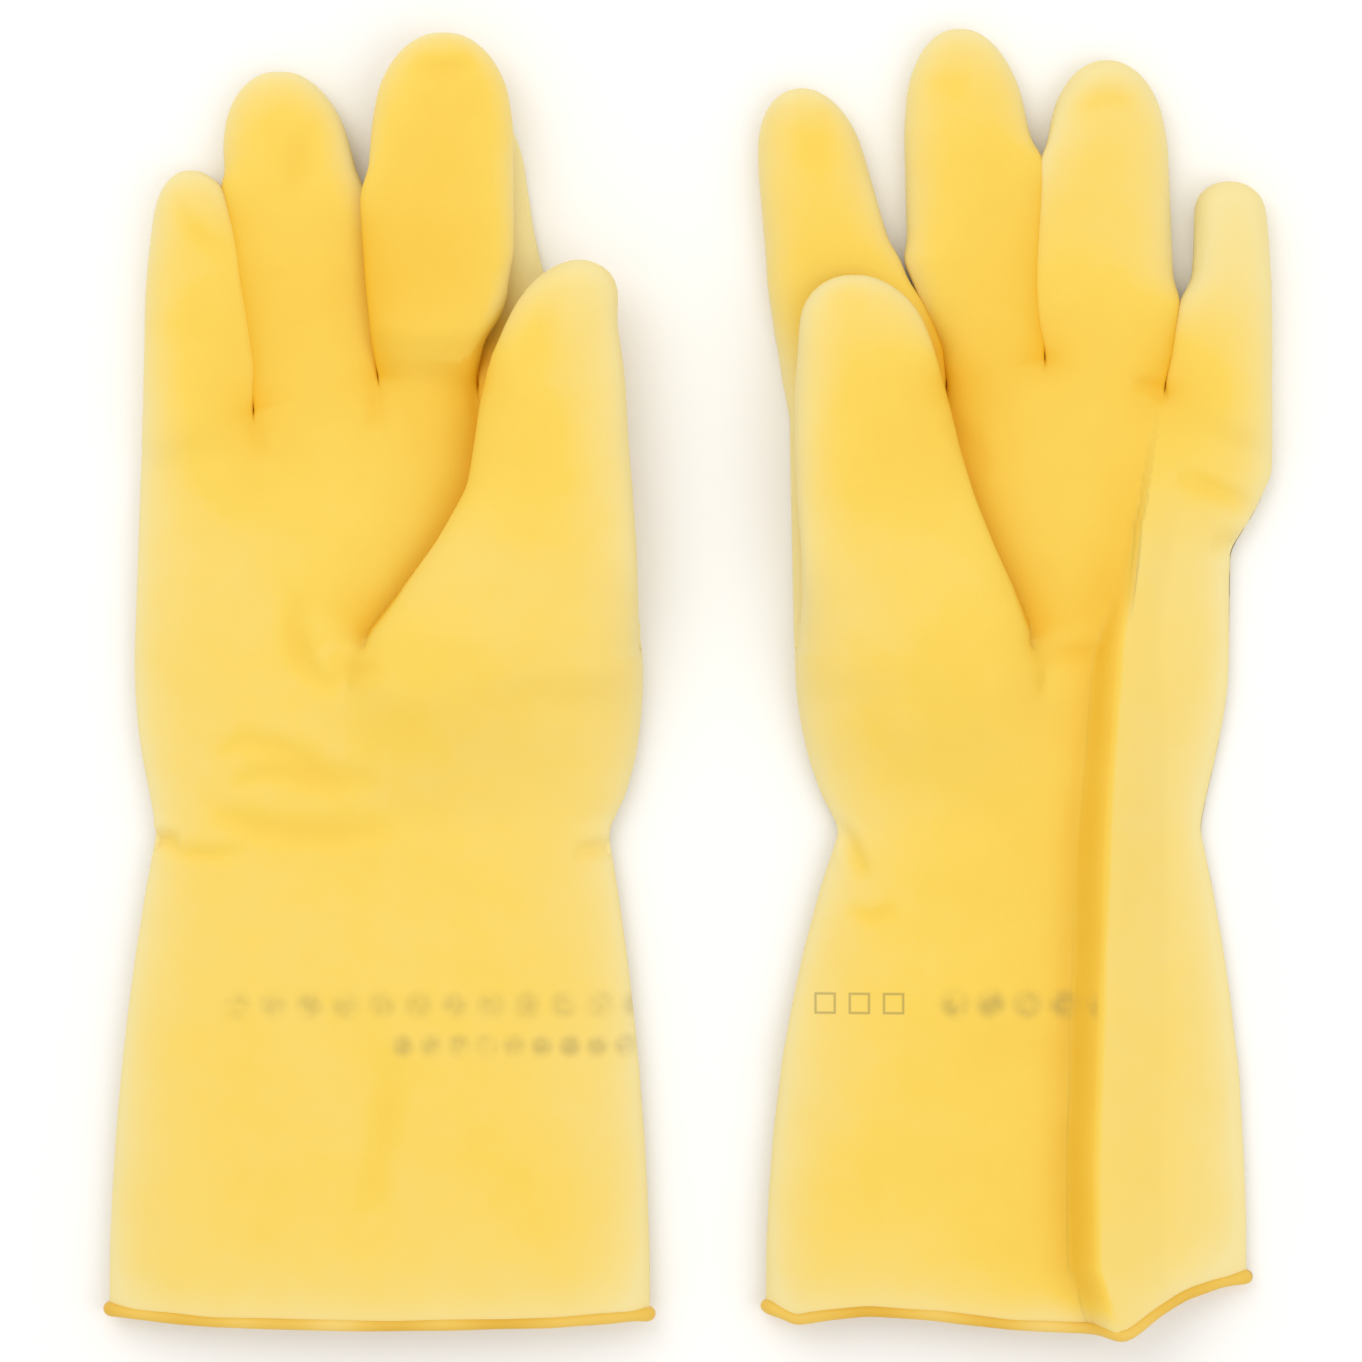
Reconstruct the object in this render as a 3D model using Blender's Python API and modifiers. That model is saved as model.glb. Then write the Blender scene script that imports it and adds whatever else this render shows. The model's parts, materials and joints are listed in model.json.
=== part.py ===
"""A pair of dipped rubber household gloves, lying flat with the palm side up.

Each glove is one film of latex with a rolled bead round the mouth of its cuff. So that it can bend,
the film is parted where a worn glove bends: cuff, heel of the hand, palm, thumb and four stalls.
Metres, +Z up, +Y towards the fingertips. A glove is worked out with its thumb towards +X and its
wrist at the origin; the left-hand glove is then turned over to its own side.
"""

import bpy
import numpy as np

# The film, its bead, and the clearance between pieces that meet.
FILM = 0.0006
BEAD = 0.0026
GAP = 0.0003

# The latex's own colours, as linear red, green and blue, and how rough it is.
FILM_COLOUR = (0.93, 0.67, 0.13)
BEAD_COLOUR = (0.86, 0.58, 0.10)
FILM_ROUGHNESS = 0.5
BEAD_ROUGHNESS = 0.42

# Lengths along the hand: rim to wrist, and wrist to thumb crotch.
CUFF_LENGTH = 0.1142
HEEL_LENGTH = 0.0414

# Heights as the glove lies.
CUFF_HEIGHT = 0.0120
WRIST_HEIGHT = 0.0100
PALM_HEIGHT = 0.0110
STALL_HEIGHT = 0.0100
THUMB_HEIGHT = 0.0105
UNDER_HEIGHT = 0.0065

# Where the middle stall climbs on to the index stall, from the knuckle line.
STACK_FROM = 0.0010
STACK_RUN = 0.0100

# How far the left-hand glove lies beside the right-hand one, and ahead of it.
GLOVE_SPACING = 0.1474
GLOVE_AHEAD = 0.0005

# How finely the film is divided: steps across one face of the hand, a stall and the thumb, and
# rows along each piece.
HAND_STEPS = 18
STALL_STEPS = 6
THUMB_STEPS = 10
CUFF_ROWS = 9
HEEL_ROWS = 6
PALM_ROWS = 6
STALL_ROWS = 7

# Where the rows round a fingertip stand, in degrees of its dome.
TIP_ANGLES = (25.0, 45.0, 62.0, 77.0)

# The rounding of a flattened tube: its edge's height, its top's and its underside's fullness.
EDGE_SHARE = 0.38
TOP_FULLNESS = 2.4
UNDER_FULLNESS = 3.0
UNDER_FLAT = 1.06

# How much of its height a fingertip loses at its very end: its top, its underside, and a thumb.
TIP_TOP_LOSS = 0.75
TIP_UNDER_LOSS = 0.4
THUMB_TIP_LOSS = 0.5

# The lengthwise fold: its height at the rim, wrist, thumb crotch and knuckles, how far it takes to
# drop on its thumb side, and how much lower, over what width, the glove's outer edge lies by it.
RIDGE_SHARES = (1.0, 0.9, 0.75, 0.0)
RIDGE_DROP = 0.012
OUTER_LOSS = 0.55
OUTER_RUN = 0.02

# How far the mound at the root of the thumb takes to rise, and a shoulder's share of the palm.
MOUND_SOFTNESS = 0.012
SHOULDER_RUN = 0.2

# One row for each glove. The knuckle points run from the little side to the thumb side: the outer
# corner of the little stall, the three crotches, and the outer corner of the index stall, as
# (across, along from the thumb crotch). The parting lines start at those points and go towards the
# fingertips: (along, across, the room between the stalls on its two sides). Room below zero is an
# overlap, where one stall lies on the other. ridge_across is where the lengthwise fold runs at the
# rim, wrist, thumb crotch and knuckles. shoulder_at is where the little-finger side steps in. A
# thumb row is (share of the thumb's length, inner side, outer side), both sides as shares of the
# mouth's width from its middle, and thumb_tip is where the tip ends, as such a share.
RIGHT = {
    "name": "right",
    "side": 1,
    "rim_width": 0.1274,
    "wrist_width": 0.1064,
    "heel_width": 0.1199,
    "rim_shift": -0.0006,
    "wrist_shift": 0.0,
    "heel_shift": 0.0016,
    "cuff_flare": 2.0,
    "heel_flare": 2.4,
    "rim_rise": 0.0,
    "shoulder_at": None,
    "ridge_height": 0.0,
    "ridge_across": (0.0, 0.0, 0.0, 0.0),
    "knuckles": (
        (-0.0566, 0.0508), (-0.0299, 0.0567), (-0.0008, 0.0650),
        (0.0223, 0.0633), (0.0507, 0.0543),
    ),
    "lines": (
        ((0.019, 0.0005, 0.0), (0.033, 0.0007, 0.0), (0.047, 0.0019, 0.0), (0.053, 0.0029, 0.0)),
        ((0.013, -0.0015, 0.0006), (0.027, -0.0039, 0.0006),
         (0.041, -0.0057, 0.0006), (0.062, -0.0080, 0.0006)),
        ((0.019, -0.0022, 0.0006), (0.033, -0.0032, 0.0008),
         (0.045, -0.0040, 0.0030), (0.054, -0.0045, 0.0062)),
        ((0.014, 0.0, 0.0006), (0.023, -0.0002, -0.0180),
         (0.035, -0.0018, -0.0217), (0.046, -0.0024, -0.0224)),
        ((0.019, -0.0054, 0.0), (0.032, -0.0120, 0.0), (0.044, -0.0149, 0.0), (0.054, -0.0164, 0.0)),
    ),
    "lengths": {"little": 0.0603, "ring": 0.0766, "middle": 0.0819, "index": 0.0724},
    "domes": {"little": 0.0125, "ring": 0.0182, "middle": 0.0225, "index": 0.0220},
    "tip_shifts": {"little": 0.0, "ring": -0.0013, "middle": 0.0002, "index": -0.0006},
    "tip_fullness": {"little": 2.0, "ring": 2.0, "middle": 2.0, "index": 2.0},
    "index_under_middle": True,
    "thumb_mouth": (-0.0074, 0.0606),
    "thumb_length": 0.0926,
    "thumb_rows": (
        (0.242, -0.229, 0.494), (0.421, -0.091, 0.476), (0.528, -0.066, 0.462),
        (0.691, -0.041, 0.456), (0.755, -0.018, 0.438), (0.845, 0.049, 0.422),
    ),
    "thumb_tip": 0.303,
}

LEFT = {
    "name": "left",
    "side": -1,
    "rim_width": 0.1134,
    "wrist_width": 0.0850,
    "heel_width": 0.1026,
    "rim_shift": 0.0004,
    "wrist_shift": -0.0028,
    "heel_shift": -0.0009,
    "cuff_flare": 2.3,
    "heel_flare": 1.9,
    "rim_rise": 0.0075,
    "shoulder_at": 0.0257,
    "ridge_height": 0.0220,
    "ridge_across": (-0.0189, -0.0232, -0.0255, -0.0345),
    "knuckles": (
        (-0.0622, 0.0527), (-0.0362, 0.0617), (-0.0085, 0.0688),
        (0.0147, 0.0617), (0.0515, 0.0551),
    ),
    "lines": (
        ((0.030, 0.0, 0.0), (0.044, 0.0008, 0.0), (0.049, 0.0012, 0.0), (0.058, 0.0030, 0.0)),
        ((0.012, -0.0028, 0.0006), (0.020, -0.0041, 0.0023),
         (0.027, -0.0050, 0.0047), (0.058, -0.0047, 0.0066)),
        ((0.015, 0.0014, 0.0006), (0.029, 0.0006, 0.0008),
         (0.043, -0.0003, 0.0010), (0.051, 0.0010, 0.0050)),
        ((0.009, 0.0003, 0.0010), (0.018, 0.0040, 0.0022),
         (0.027, 0.0100, 0.0022), (0.057, 0.0148, 0.0100)),
        ((0.016, 0.0029, 0.0), (0.027, 0.0048, 0.0), (0.040, 0.0057, 0.0), (0.058, 0.0074, 0.0)),
    ),
    "lengths": {"little": 0.0537, "ring": 0.0745, "middle": 0.0820, "index": 0.0747},
    "domes": {"little": 0.0092, "ring": 0.0200, "middle": 0.0256, "index": 0.0194},
    "tip_shifts": {"little": 0.0005, "ring": 0.0007, "middle": 0.0018, "index": 0.0029},
    "tip_fullness": {"little": 3.0, "ring": 2.0, "middle": 2.0, "index": 2.0},
    "index_under_middle": False,
    "thumb_mouth": (-0.0073, 0.0499),
    "thumb_length": 0.0886,
    "thumb_rows": (
        (0.141, -0.409, 0.476), (0.221, -0.343, 0.477), (0.381, -0.240, 0.498),
        (0.497, -0.177, 0.509), (0.726, -0.096, 0.512), (0.819, -0.049, 0.495),
    ),
    "thumb_tip": 0.273,
}

STALLS = ("little", "ring", "middle", "index")


def smooth(share):
    """0 below 0, 1 above 1, and an even S between."""
    share = np.clip(share, 0.0, 1.0)
    return share * share * (3.0 - 2.0 * share)


def section(low_x, high_x, floor_z, crown, steps):
    """The loop across a flattened tube: over the top from low_x to high_x, then back underneath.

    crown(x) is the height of the top, and the side points stand at EDGE_SHARE of its height there.
    The steps are closer together near the sides. Gives the x and the z of every point.
    """
    s = -np.cos(np.pi * np.arange(steps + 1) / steps)
    x = low_x + (high_x - low_x) * (s + 1.0) / 2.0
    top = crown(x)
    ends = floor_z + EDGE_SHARE * (np.array([top[0], top[-1]]) - floor_z)
    edge = ends[0] + (ends[1] - ends[0]) * (s + 1.0) / 2.0
    swell = np.clip(1.0 - np.abs(s) ** TOP_FULLNESS, 0.0, 1.0) ** (1.0 / TOP_FULLNESS)
    sag = np.clip(1.0 - np.abs(s) ** UNDER_FULLNESS, 0.0, 1.0) ** (1.0 / UNDER_FULLNESS)
    over = edge + (top - edge) * swell
    under = edge - (edge - floor_z) * np.minimum(1.0, UNDER_FLAT * sag)
    return np.concatenate([x, x[-2:0:-1]]), np.concatenate([over, under[-2:0:-1]])


def level(height):
    """A crown for section that has the same height all the way across."""
    return lambda x: np.full_like(x, height)


def ring_of(x, y, z):
    """The points of one loop as rows of (x, y, z)."""
    return np.stack([x, np.broadcast_to(y, x.shape), z], axis=1)


def loft_faces(loops, tip_closed):
    """Quads between neighbouring loops and, for a closed tip, quads that zip its two sides together."""
    count = len(loops[0])
    steps = count // 2
    faces = []
    for row in range(len(loops) - 1):
        for i in range(count):
            j = (i + 1) % count
            a, b = row * count, (row + 1) * count
            faces.append((a + i, a + j, b + j, b + i))
    if tip_closed:
        last = (len(loops) - 1) * count
        for k in range(steps):
            across = [last + k, last + k + 1, last + (count - k - 1) % count, last + (count - k) % count]
            faces.append(tuple(dict.fromkeys(across)))
    return faces


def rubber(name, colour, roughness):
    """The latex's own material."""
    material = bpy.data.materials.new(name)
    material.use_nodes = True
    shader = material.node_tree.nodes["Principled BSDF"]
    shader.inputs["Base Color"].default_value = (*colour, 1.0)
    shader.inputs["Roughness"].default_value = roughness
    shader.inputs["Metallic"].default_value = 0.0
    material.diffuse_color = (*colour, 1.0)
    return material


def add_object(name, data, glove, pivot):
    """Puts data in the collection, with its origin at pivot in its glove's own frame."""
    item = bpy.data.objects.new(name, data)
    item.parent = glove["empty"]
    item.location = (glove["side"] * pivot[0], pivot[1], pivot[2])
    bpy.data.collections["rubber_gloves"].objects.link(item)
    return item


def add_film(name, loops, glove, pivot, tip_closed=False):
    """A film through the loops, its wall grown inwards by Solidify."""
    points = np.concatenate(loops) - np.array(pivot)
    points[:, 0] *= glove["side"]
    faces = loft_faces(loops, tip_closed)
    if glove["side"] < 0:
        faces = [face[::-1] for face in faces]
    mesh = bpy.data.meshes.new(name)
    mesh.from_pydata(points.tolist(), [], faces)
    mesh.materials.append(rubber(name, FILM_COLOUR, FILM_ROUGHNESS))
    mesh.shade_smooth()
    film = add_object(name, mesh, glove, pivot)
    wall = film.modifiers.new("wall", "SOLIDIFY")
    wall.thickness = FILM
    wall.offset = -1.0
    wall.use_even_offset = True
    return film


def at_row(along, values):
    """A value at a row, from its values at the rim (0), wrist (1), thumb crotch (2) and knuckles (3)."""
    return np.interp(along, (0.0, 1.0, 2.0, 3.0), values)


def ridge(glove, x, along, edge_x):
    """The height that the glove's lengthwise fold gives the top at x.

    It climbs evenly from the little side to the fold's line and drops steeply beyond it.
    """
    line = at_row(along, glove["ridge_across"])
    height = glove["ridge_height"] * at_row(along, RIDGE_SHARES)
    climb = np.clip((x - edge_x) / max(line - edge_x, GAP), 0.0, 1.0)
    drop = 1.0 - smooth((x - line) / RIDGE_DROP)
    return height * np.where(x < line, climb, drop)


def hand_crown(glove, along, edge_x, under_thumb=False):
    """The height of the hand's top across one row, as a function of x.

    The heel swells into a mound at the root of the thumb. The palm, under_thumb, has none.
    """
    height = at_row(along, (CUFF_HEIGHT, WRIST_HEIGHT, PALM_HEIGHT, PALM_HEIGHT))
    mound = 0.0 if under_thumb else (THUMB_HEIGHT + GAP) * smooth(along - 1.0)
    start = glove["thumb_mouth"][0] - MOUND_SOFTNESS

    def crown(x):
        top = height + mound * smooth((x - start) / MOUND_SOFTNESS)
        if glove["ridge_height"] > 0.0:
            fade = min(1.0, 3.0 - along)
            low = height * (1.0 - OUTER_LOSS * fade * (1.0 - smooth((x - edge_x) / OUTER_RUN)))
            outer = x < at_row(along, glove["ridge_across"])
            top = np.where(outer, low, top)
            top = np.maximum(top, ridge(glove, x, along, edge_x) + (1.0 - fade) * low * outer)
        return top
    return crown


def hand_edges(glove, along):
    """The two side edges of the hand at a row: 0 rim, 1 wrist, 2 thumb crotch, 3 knuckles."""
    half_wrist, shift_wrist = glove["wrist_width"] / 2.0, glove["wrist_shift"]
    if along <= 1.0:
        flare = 1.0 - along ** glove["cuff_flare"]
        half = half_wrist + (glove["rim_width"] / 2.0 - half_wrist) * flare
        shift = shift_wrist + (glove["rim_shift"] - shift_wrist) * flare
        return shift - half, shift + half
    half_heel, shift_heel = glove["heel_width"] / 2.0, glove["heel_shift"]
    if along <= 2.0:
        flare = 1.0 - (2.0 - along) ** glove["heel_flare"]
        lean = 1.0 - (2.0 - along) ** (3.0 * glove["heel_flare"])
        half = half_wrist + (half_heel - half_wrist) * flare
        shift = shift_wrist + (shift_heel - shift_wrist) * lean
        return shift - half, shift + half
    share = along - 2.0
    low, high = shift_heel - half_heel, shift_heel + half_heel
    (little, reach), (thumb, _) = glove["knuckles"][0], glove["knuckles"][-1]
    stepped = share
    if glove["shoulder_at"]:
        stepped = smooth((share - glove["shoulder_at"] / reach) / SHOULDER_RUN)
    return low + (little - low) * stepped, high + (thumb - high) * share


def knuckle_y(glove, x):
    """Where the knuckle line runs at x."""
    across, reach = zip(*glove["knuckles"])
    return HEEL_LENGTH + np.interp(x, across, reach)


def rim_slope(glove):
    """The steepest slope of a rim that rises towards the little side, as smooth has it."""
    return 1.5 * glove["rim_rise"] / (glove["rim_width"] / 2.0 + glove["ridge_across"][0])


def hand_loop(glove, along, back_off=0.0, under_thumb=False):
    """One loop round the hand. back_off pulls it towards the wrist, to part it from its neighbour."""
    low, high = hand_edges(glove, along)
    x, z = section(low, high, 0.0, hand_crown(glove, along, low, under_thumb), HAND_STEPS)
    if along <= 1.0:
        line = glove["ridge_across"][0]
        rise = glove["rim_rise"] * smooth((line - x) / (line + glove["rim_width"] / 2.0))
        y = -(1.0 - along) * (CUFF_LENGTH - rise)
    elif along <= 2.0:
        y = (along - 1.0) * HEEL_LENGTH
    else:
        y = HEEL_LENGTH + (along - 2.0) * (knuckle_y(glove, x) - HEEL_LENGTH)
    return ring_of(x, y + back_off, z)


def hand_loops(glove, first, rows, under_thumb=False):
    """The loops of one piece, from row first to the next, the last one a clearance short of it."""
    steps = np.linspace(first, first + 1.0, rows)
    loops = [hand_loop(glove, along, 0.0, under_thumb) for along in steps[:-1]]
    return loops + [hand_loop(glove, first + 1.0, -GAP, under_thumb)]


def make_hand(glove):
    """The cuff with its bead, the heel and the palm, which lies under the thumb."""
    name = glove["name"]
    wrist_top = float(hand_loop(glove, 1.0)[:, 2].max())
    wrist = (glove["wrist_shift"], -GAP, wrist_top)
    add_film(f"{name}_cuff", hand_loops(glove, 0.0, CUFF_ROWS), glove, wrist)
    add_bead(glove, wrist)
    add_film(f"{name}_heel", hand_loops(glove, 1.0, HEEL_ROWS), glove, (0.0, 0.0, 0.0))
    palm = hand_loops(glove, 2.0, PALM_ROWS, under_thumb=True)
    add_film(f"{name}_palm", palm, glove, (0.0, 0.0, 0.0))


def add_bead(glove, pivot):
    """The rolled bead: a cord of latex round the rim, its outside flush with the film's."""
    low, high = hand_edges(glove, 0.0)
    crown = hand_crown(glove, 0.0, low)
    inset = BEAD / 2.0
    x, z = section(low + inset, high - inset, inset, lambda v: crown(v) - inset, HAND_STEPS)
    y = hand_loop(glove, 0.0)[:, 1] - (GAP + inset) * np.hypot(1.0, rim_slope(glove))
    curve = bpy.data.curves.new(f"{glove['name']}_cuff_bead", "CURVE")
    curve.dimensions = "3D"
    curve.bevel_depth = inset
    curve.bevel_resolution = 1
    line = curve.splines.new("POLY")
    line.points.add(len(x) - 1)
    line.use_cyclic_u = True
    for point, place in zip(line.points, ring_of(x, y, z) - np.array(pivot)):
        point.co = (glove["side"] * place[0], place[1], place[2], 1.0)
    curve.materials.append(rubber(curve.name, BEAD_COLOUR, BEAD_ROUGHNESS))
    add_object(curve.name, curve, glove, pivot)


def line_at(glove, number, y):
    """The parting line of that number at y: its place across and the room between its two stalls."""
    start = (glove["knuckles"][number][0], HEEL_LENGTH + glove["knuckles"][number][1])
    along = [start[1]] + [start[1] + row[0] for row in glove["lines"][number]]
    across = [start[0]] + [start[0] + row[1] for row in glove["lines"][number]]
    room = [glove["lines"][number][0][2]] + [row[2] for row in glove["lines"][number]]
    return np.interp(y, along, across), np.interp(y, along, room)


def dome(share, fullness):
    """How much of a stall's width is left at a share of its rounded tip."""
    return np.clip(1.0 - share ** fullness, 0.0, 1.0) ** (1.0 / fullness)


def tip_rows(start, count):
    """Shares of a stall's length: even steps to the dome at start, then closer ones round the tip."""
    body = np.linspace(0.0, start, count)
    return np.concatenate([body, start + (1.0 - start) * np.sin(np.radians(TIP_ANGLES))])


def stall_heights(glove, stall, y):
    """The underside and the top of a stall at y. A stall that lies on another starts above it."""
    mouth = HEEL_LENGTH + glove["knuckles"][3][1]
    stacked = smooth((y - mouth - STACK_FROM) / STACK_RUN) if glove["index_under_middle"] else 0.0
    if stall == "middle":
        low = stacked * (UNDER_HEIGHT + GAP)
        return low, low + PALM_HEIGHT + (STALL_HEIGHT - PALM_HEIGHT) * stacked
    if stall == "index":
        return 0.0, PALM_HEIGHT + (UNDER_HEIGHT - PALM_HEIGHT) * stacked
    return 0.0, PALM_HEIGHT


def make_stall(glove, number):
    """A finger stall between two parting lines, closed by a rounded tip."""
    stall = STALLS[number]
    (x_low, y_low), (x_high, y_high) = glove["knuckles"][number:number + 2]
    y_low, y_high = HEEL_LENGTH + y_low, HEEL_LENGTH + y_high
    mouth = (y_low + y_high) / 2.0
    length = glove["lengths"][stall]
    tip = mouth + length
    start = 1.0 - glove["domes"][stall] / length
    loops = []
    for share in tip_rows(start, STALL_ROWS):
        y = mouth + share * length
        round_share = max(0.0, (share - start) / (1.0 - start))
        slant = (y_high - y_low) / 2.0 * (1.0 - share) ** 2
        round_from = tip - glove["domes"][stall]
        left, left_room = line_at(glove, number, min(y - slant, round_from))
        right, right_room = line_at(glove, number + 1, min(y + slant, round_from))
        left_room = left_room if number > 0 else 0.0
        right_room = right_room if number < 3 else 0.0
        low, high = left + left_room / 2.0, right - right_room / 2.0
        keep = dome(round_share, glove["tip_fullness"][stall])
        centre = (low + high) / 2.0 + glove["tip_shifts"][stall] * round_share
        half = (high - low) / 2.0 * keep
        floor_z, top_z = stall_heights(glove, stall, y)
        loss = TIP_TOP_LOSS * round_share ** 3
        middle_z = floor_z + EDGE_SHARE * (top_z - floor_z)
        top_z -= (top_z - middle_z) * loss
        floor_z += (middle_z - floor_z) * loss * TIP_UNDER_LOSS
        x, z = section(centre - half, centre + half, floor_z, level(top_z), STALL_STEPS)
        across = (x - centre) / max(half, GAP)
        loops.append(ring_of(x, y + GAP + slant * across, z))
    pivot = ((x_low + x_high) / 2.0, min(y_low, y_high), PALM_HEIGHT)
    if stall == "index":
        pivot = (pivot[0], pivot[1], 0.0)
    add_film(f"{glove['name']}_{stall}", loops, glove, pivot, tip_closed=True)


def make_thumb(glove):
    """The thumb stall, which lies over the palm from the thumb crotch up."""
    low_x, high_x = glove["thumb_mouth"]
    centre, width, length = (low_x + high_x) / 2.0, high_x - low_x, glove["thumb_length"]
    shares, lows, highs = zip((0.0, -0.5, 0.5), *glove["thumb_rows"])
    start = shares[-1]
    floor_z = PALM_HEIGHT + GAP
    loops = []
    for share in tip_rows(start, STALL_ROWS):
        round_share = max(0.0, (share - start) / (1.0 - start))
        low = np.interp(share, shares, lows)
        high = np.interp(share, shares, highs)
        middle = (low + high) / 2.0 + (glove["thumb_tip"] - (lows[-1] + highs[-1]) / 2.0) * round_share
        half = (high - low) / 2.0 * dome(round_share, 2.0)
        low_side = centre + (middle - half) * width
        high_side = centre + (middle + half) * width
        top_z = floor_z + THUMB_HEIGHT * (1.0 - THUMB_TIP_LOSS * round_share ** 3)
        x, z = section(low_side, high_side, floor_z, level(top_z), THUMB_STEPS)
        loops.append(ring_of(x, HEEL_LENGTH + share * length, z))
    pivot = (centre, HEEL_LENGTH, floor_z + THUMB_HEIGHT)
    add_film(f"{glove['name']}_thumb", loops, glove, pivot, tip_closed=True)


def add_empty(glove):
    """The glove's own origin, at the middle of its wrist on the table."""
    empty = bpy.data.objects.new(f"{glove['name']}_glove", None)
    bpy.data.collections["rubber_gloves"].objects.link(empty)
    return empty


def centre_pair(gloves):
    """Moves both gloves so that the middle of the pair's outline stands at the origin."""
    bpy.context.view_layer.update()
    graph = bpy.context.evaluated_depsgraph_get()
    points = []
    for item in bpy.data.collections["rubber_gloves"].objects:
        if item.type != "EMPTY":
            shown = item.evaluated_get(graph)
            mesh = shown.to_mesh()
            points += [shown.matrix_world @ vertex.co for vertex in mesh.vertices]
            shown.to_mesh_clear()
    points = np.array(points)
    middle = (points.min(axis=0) + points.max(axis=0)) / 2.0
    for glove in gloves:
        glove["empty"].location.x -= middle[0]
        glove["empty"].location.y -= middle[1]


def main():
    for item in list(bpy.data.objects):
        bpy.data.objects.remove(item, do_unlink=True)
    collection = bpy.data.collections.new("rubber_gloves")
    bpy.context.scene.collection.children.link(collection)
    for glove in (RIGHT, LEFT):
        glove["empty"] = add_empty(glove)
        make_hand(glove)
        make_thumb(glove)
        for number in range(len(STALLS)):
            make_stall(glove, number)
    LEFT["empty"].location = (GLOVE_SPACING, GLOVE_AHEAD, 0.0)
    centre_pair((RIGHT, LEFT))


main()
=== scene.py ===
# %% [markdown]
# # A pair of dipped rubber gloves
#
# A household glove is dipped, not sewn: a hand-shaped former goes into liquid latex and comes out
# with one thin skin on it. So the whole glove is one surface, with a rolled bead round its mouth.
# It could be sculpted, or cloth-simulated from two flat sheets. Here each part of the hand is a
# tube worked out on a grid, and the grids share their points where they meet, so that the skin
# runs unbroken from the cuff into each finger and is cut into pieces only where it has to bend.
#
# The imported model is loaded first. It is the fixed frame: it says where everything is.

# %% Load the frame
import json

import bpy
import numpy as np
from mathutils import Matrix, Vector


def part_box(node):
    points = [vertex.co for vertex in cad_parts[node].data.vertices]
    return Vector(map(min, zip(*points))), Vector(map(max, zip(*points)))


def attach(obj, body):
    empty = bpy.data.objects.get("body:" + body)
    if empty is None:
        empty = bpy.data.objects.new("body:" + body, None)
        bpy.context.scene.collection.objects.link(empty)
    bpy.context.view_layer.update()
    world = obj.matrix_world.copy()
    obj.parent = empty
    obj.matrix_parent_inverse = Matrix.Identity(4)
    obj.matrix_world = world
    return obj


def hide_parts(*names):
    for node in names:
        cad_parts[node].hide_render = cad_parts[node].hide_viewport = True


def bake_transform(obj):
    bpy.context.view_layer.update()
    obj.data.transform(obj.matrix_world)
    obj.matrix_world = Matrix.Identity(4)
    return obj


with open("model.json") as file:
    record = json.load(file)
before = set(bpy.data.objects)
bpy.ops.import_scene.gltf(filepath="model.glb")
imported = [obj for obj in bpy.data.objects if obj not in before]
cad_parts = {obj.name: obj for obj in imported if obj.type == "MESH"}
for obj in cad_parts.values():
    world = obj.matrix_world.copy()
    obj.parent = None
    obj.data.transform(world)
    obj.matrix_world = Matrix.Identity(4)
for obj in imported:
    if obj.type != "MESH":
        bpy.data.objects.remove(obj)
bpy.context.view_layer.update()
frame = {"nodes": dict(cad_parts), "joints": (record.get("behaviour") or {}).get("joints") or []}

MM = 0.001
SIDES = {"right": 1.0, "left": -1.0}
STALLS = ("little", "ring", "middle", "index")

# %% [markdown]
# ## Camera, floor and light
#
# Things laid out for sale are seen from straight above, on white, in light that comes from all
# round. A long lens from a good way up keeps the sides from leaning. The floor is matt white, so
# the light that it throws back makes the thin skin look as if it glowed; the pale glow at its free
# edges is painted into its colour further on.

# %% Camera
LENS = 135.0
SENSOR = 36.0
VIEW_WIDTH = 0.3220
VIEW_CENTRE = (-0.0023, -0.0006)
CLIP_START = 0.01
CLIP_END = 50.0

camera = bpy.data.objects.new("camera", bpy.data.cameras.new("camera"))
bpy.context.scene.collection.objects.link(camera)
camera.data.lens = LENS
camera.data.sensor_width = SENSOR
camera.location = (*VIEW_CENTRE, VIEW_WIDTH * LENS / SENSOR)
camera.data.clip_start = CLIP_START
camera.data.clip_end = CLIP_END
bpy.context.scene.camera = camera
print("camera height in m:", round(camera.location.z, 3))


# %% Colours
def linear(code):
    """An sRGB hex colour as linear red, green, blue and alpha.

    A share c is c / 12.92 up to 0.04045, and ((c + 0.055) / 1.055) ^ 2.4 above it.
    """
    parts = np.array([int(code[i:i + 2], 16) for i in (0, 2, 4)]) / 255.0
    low = parts / 12.92
    high = ((parts + 0.055) / 1.055) ** 2.4
    return (*np.where(parts <= 0.04045, low, high).tolist(), 1.0)


# %% A helper for materials
def add_node(tree, kind, settings=None, **inputs):
    """Adds a node, sets its settings and its inputs, and links an input that is given a socket.

    An input's name has _ for a space. A number after _ is the input's place in the node.
    """
    node = tree.nodes.new(kind)
    for name, value in (settings or {}).items():
        setattr(node, name, value)
    for name, value in inputs.items():
        key = int(name[1:]) if name[1:].isdigit() else name.replace("_", " ")
        if isinstance(value, bpy.types.NodeSocket):
            tree.links.new(value, node.inputs[key])
        else:
            node.inputs[key].default_value = value
    return node


def new_material(name):
    """A material with no nodes yet, and its node tree."""
    material = bpy.data.materials.new(name)
    material.use_nodes = True
    material.node_tree.nodes.clear()
    return material, material.node_tree


# %% Floor, sky and lamps
FLOOR_SIZE = 6.0
FLOOR_DROP = 0.2 * MM
SKY_STRENGTH = 0.93
# Each lamp's name, place and width in metres, and power in watts.
LAMPS = (
    ("key_lamp", (-0.55, 0.75, 1.1), 1.3, 5.0),
    ("fill_lamp", (0.9, -0.3, 1.2), 1.2, 3.4),
)

bpy.context.scene.view_settings.view_transform = "Standard"
bpy.ops.mesh.primitive_plane_add(size=FLOOR_SIZE, location=(0.0, 0.0, -FLOOR_DROP))
floor = bpy.context.object
floor.name = "floor"

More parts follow.
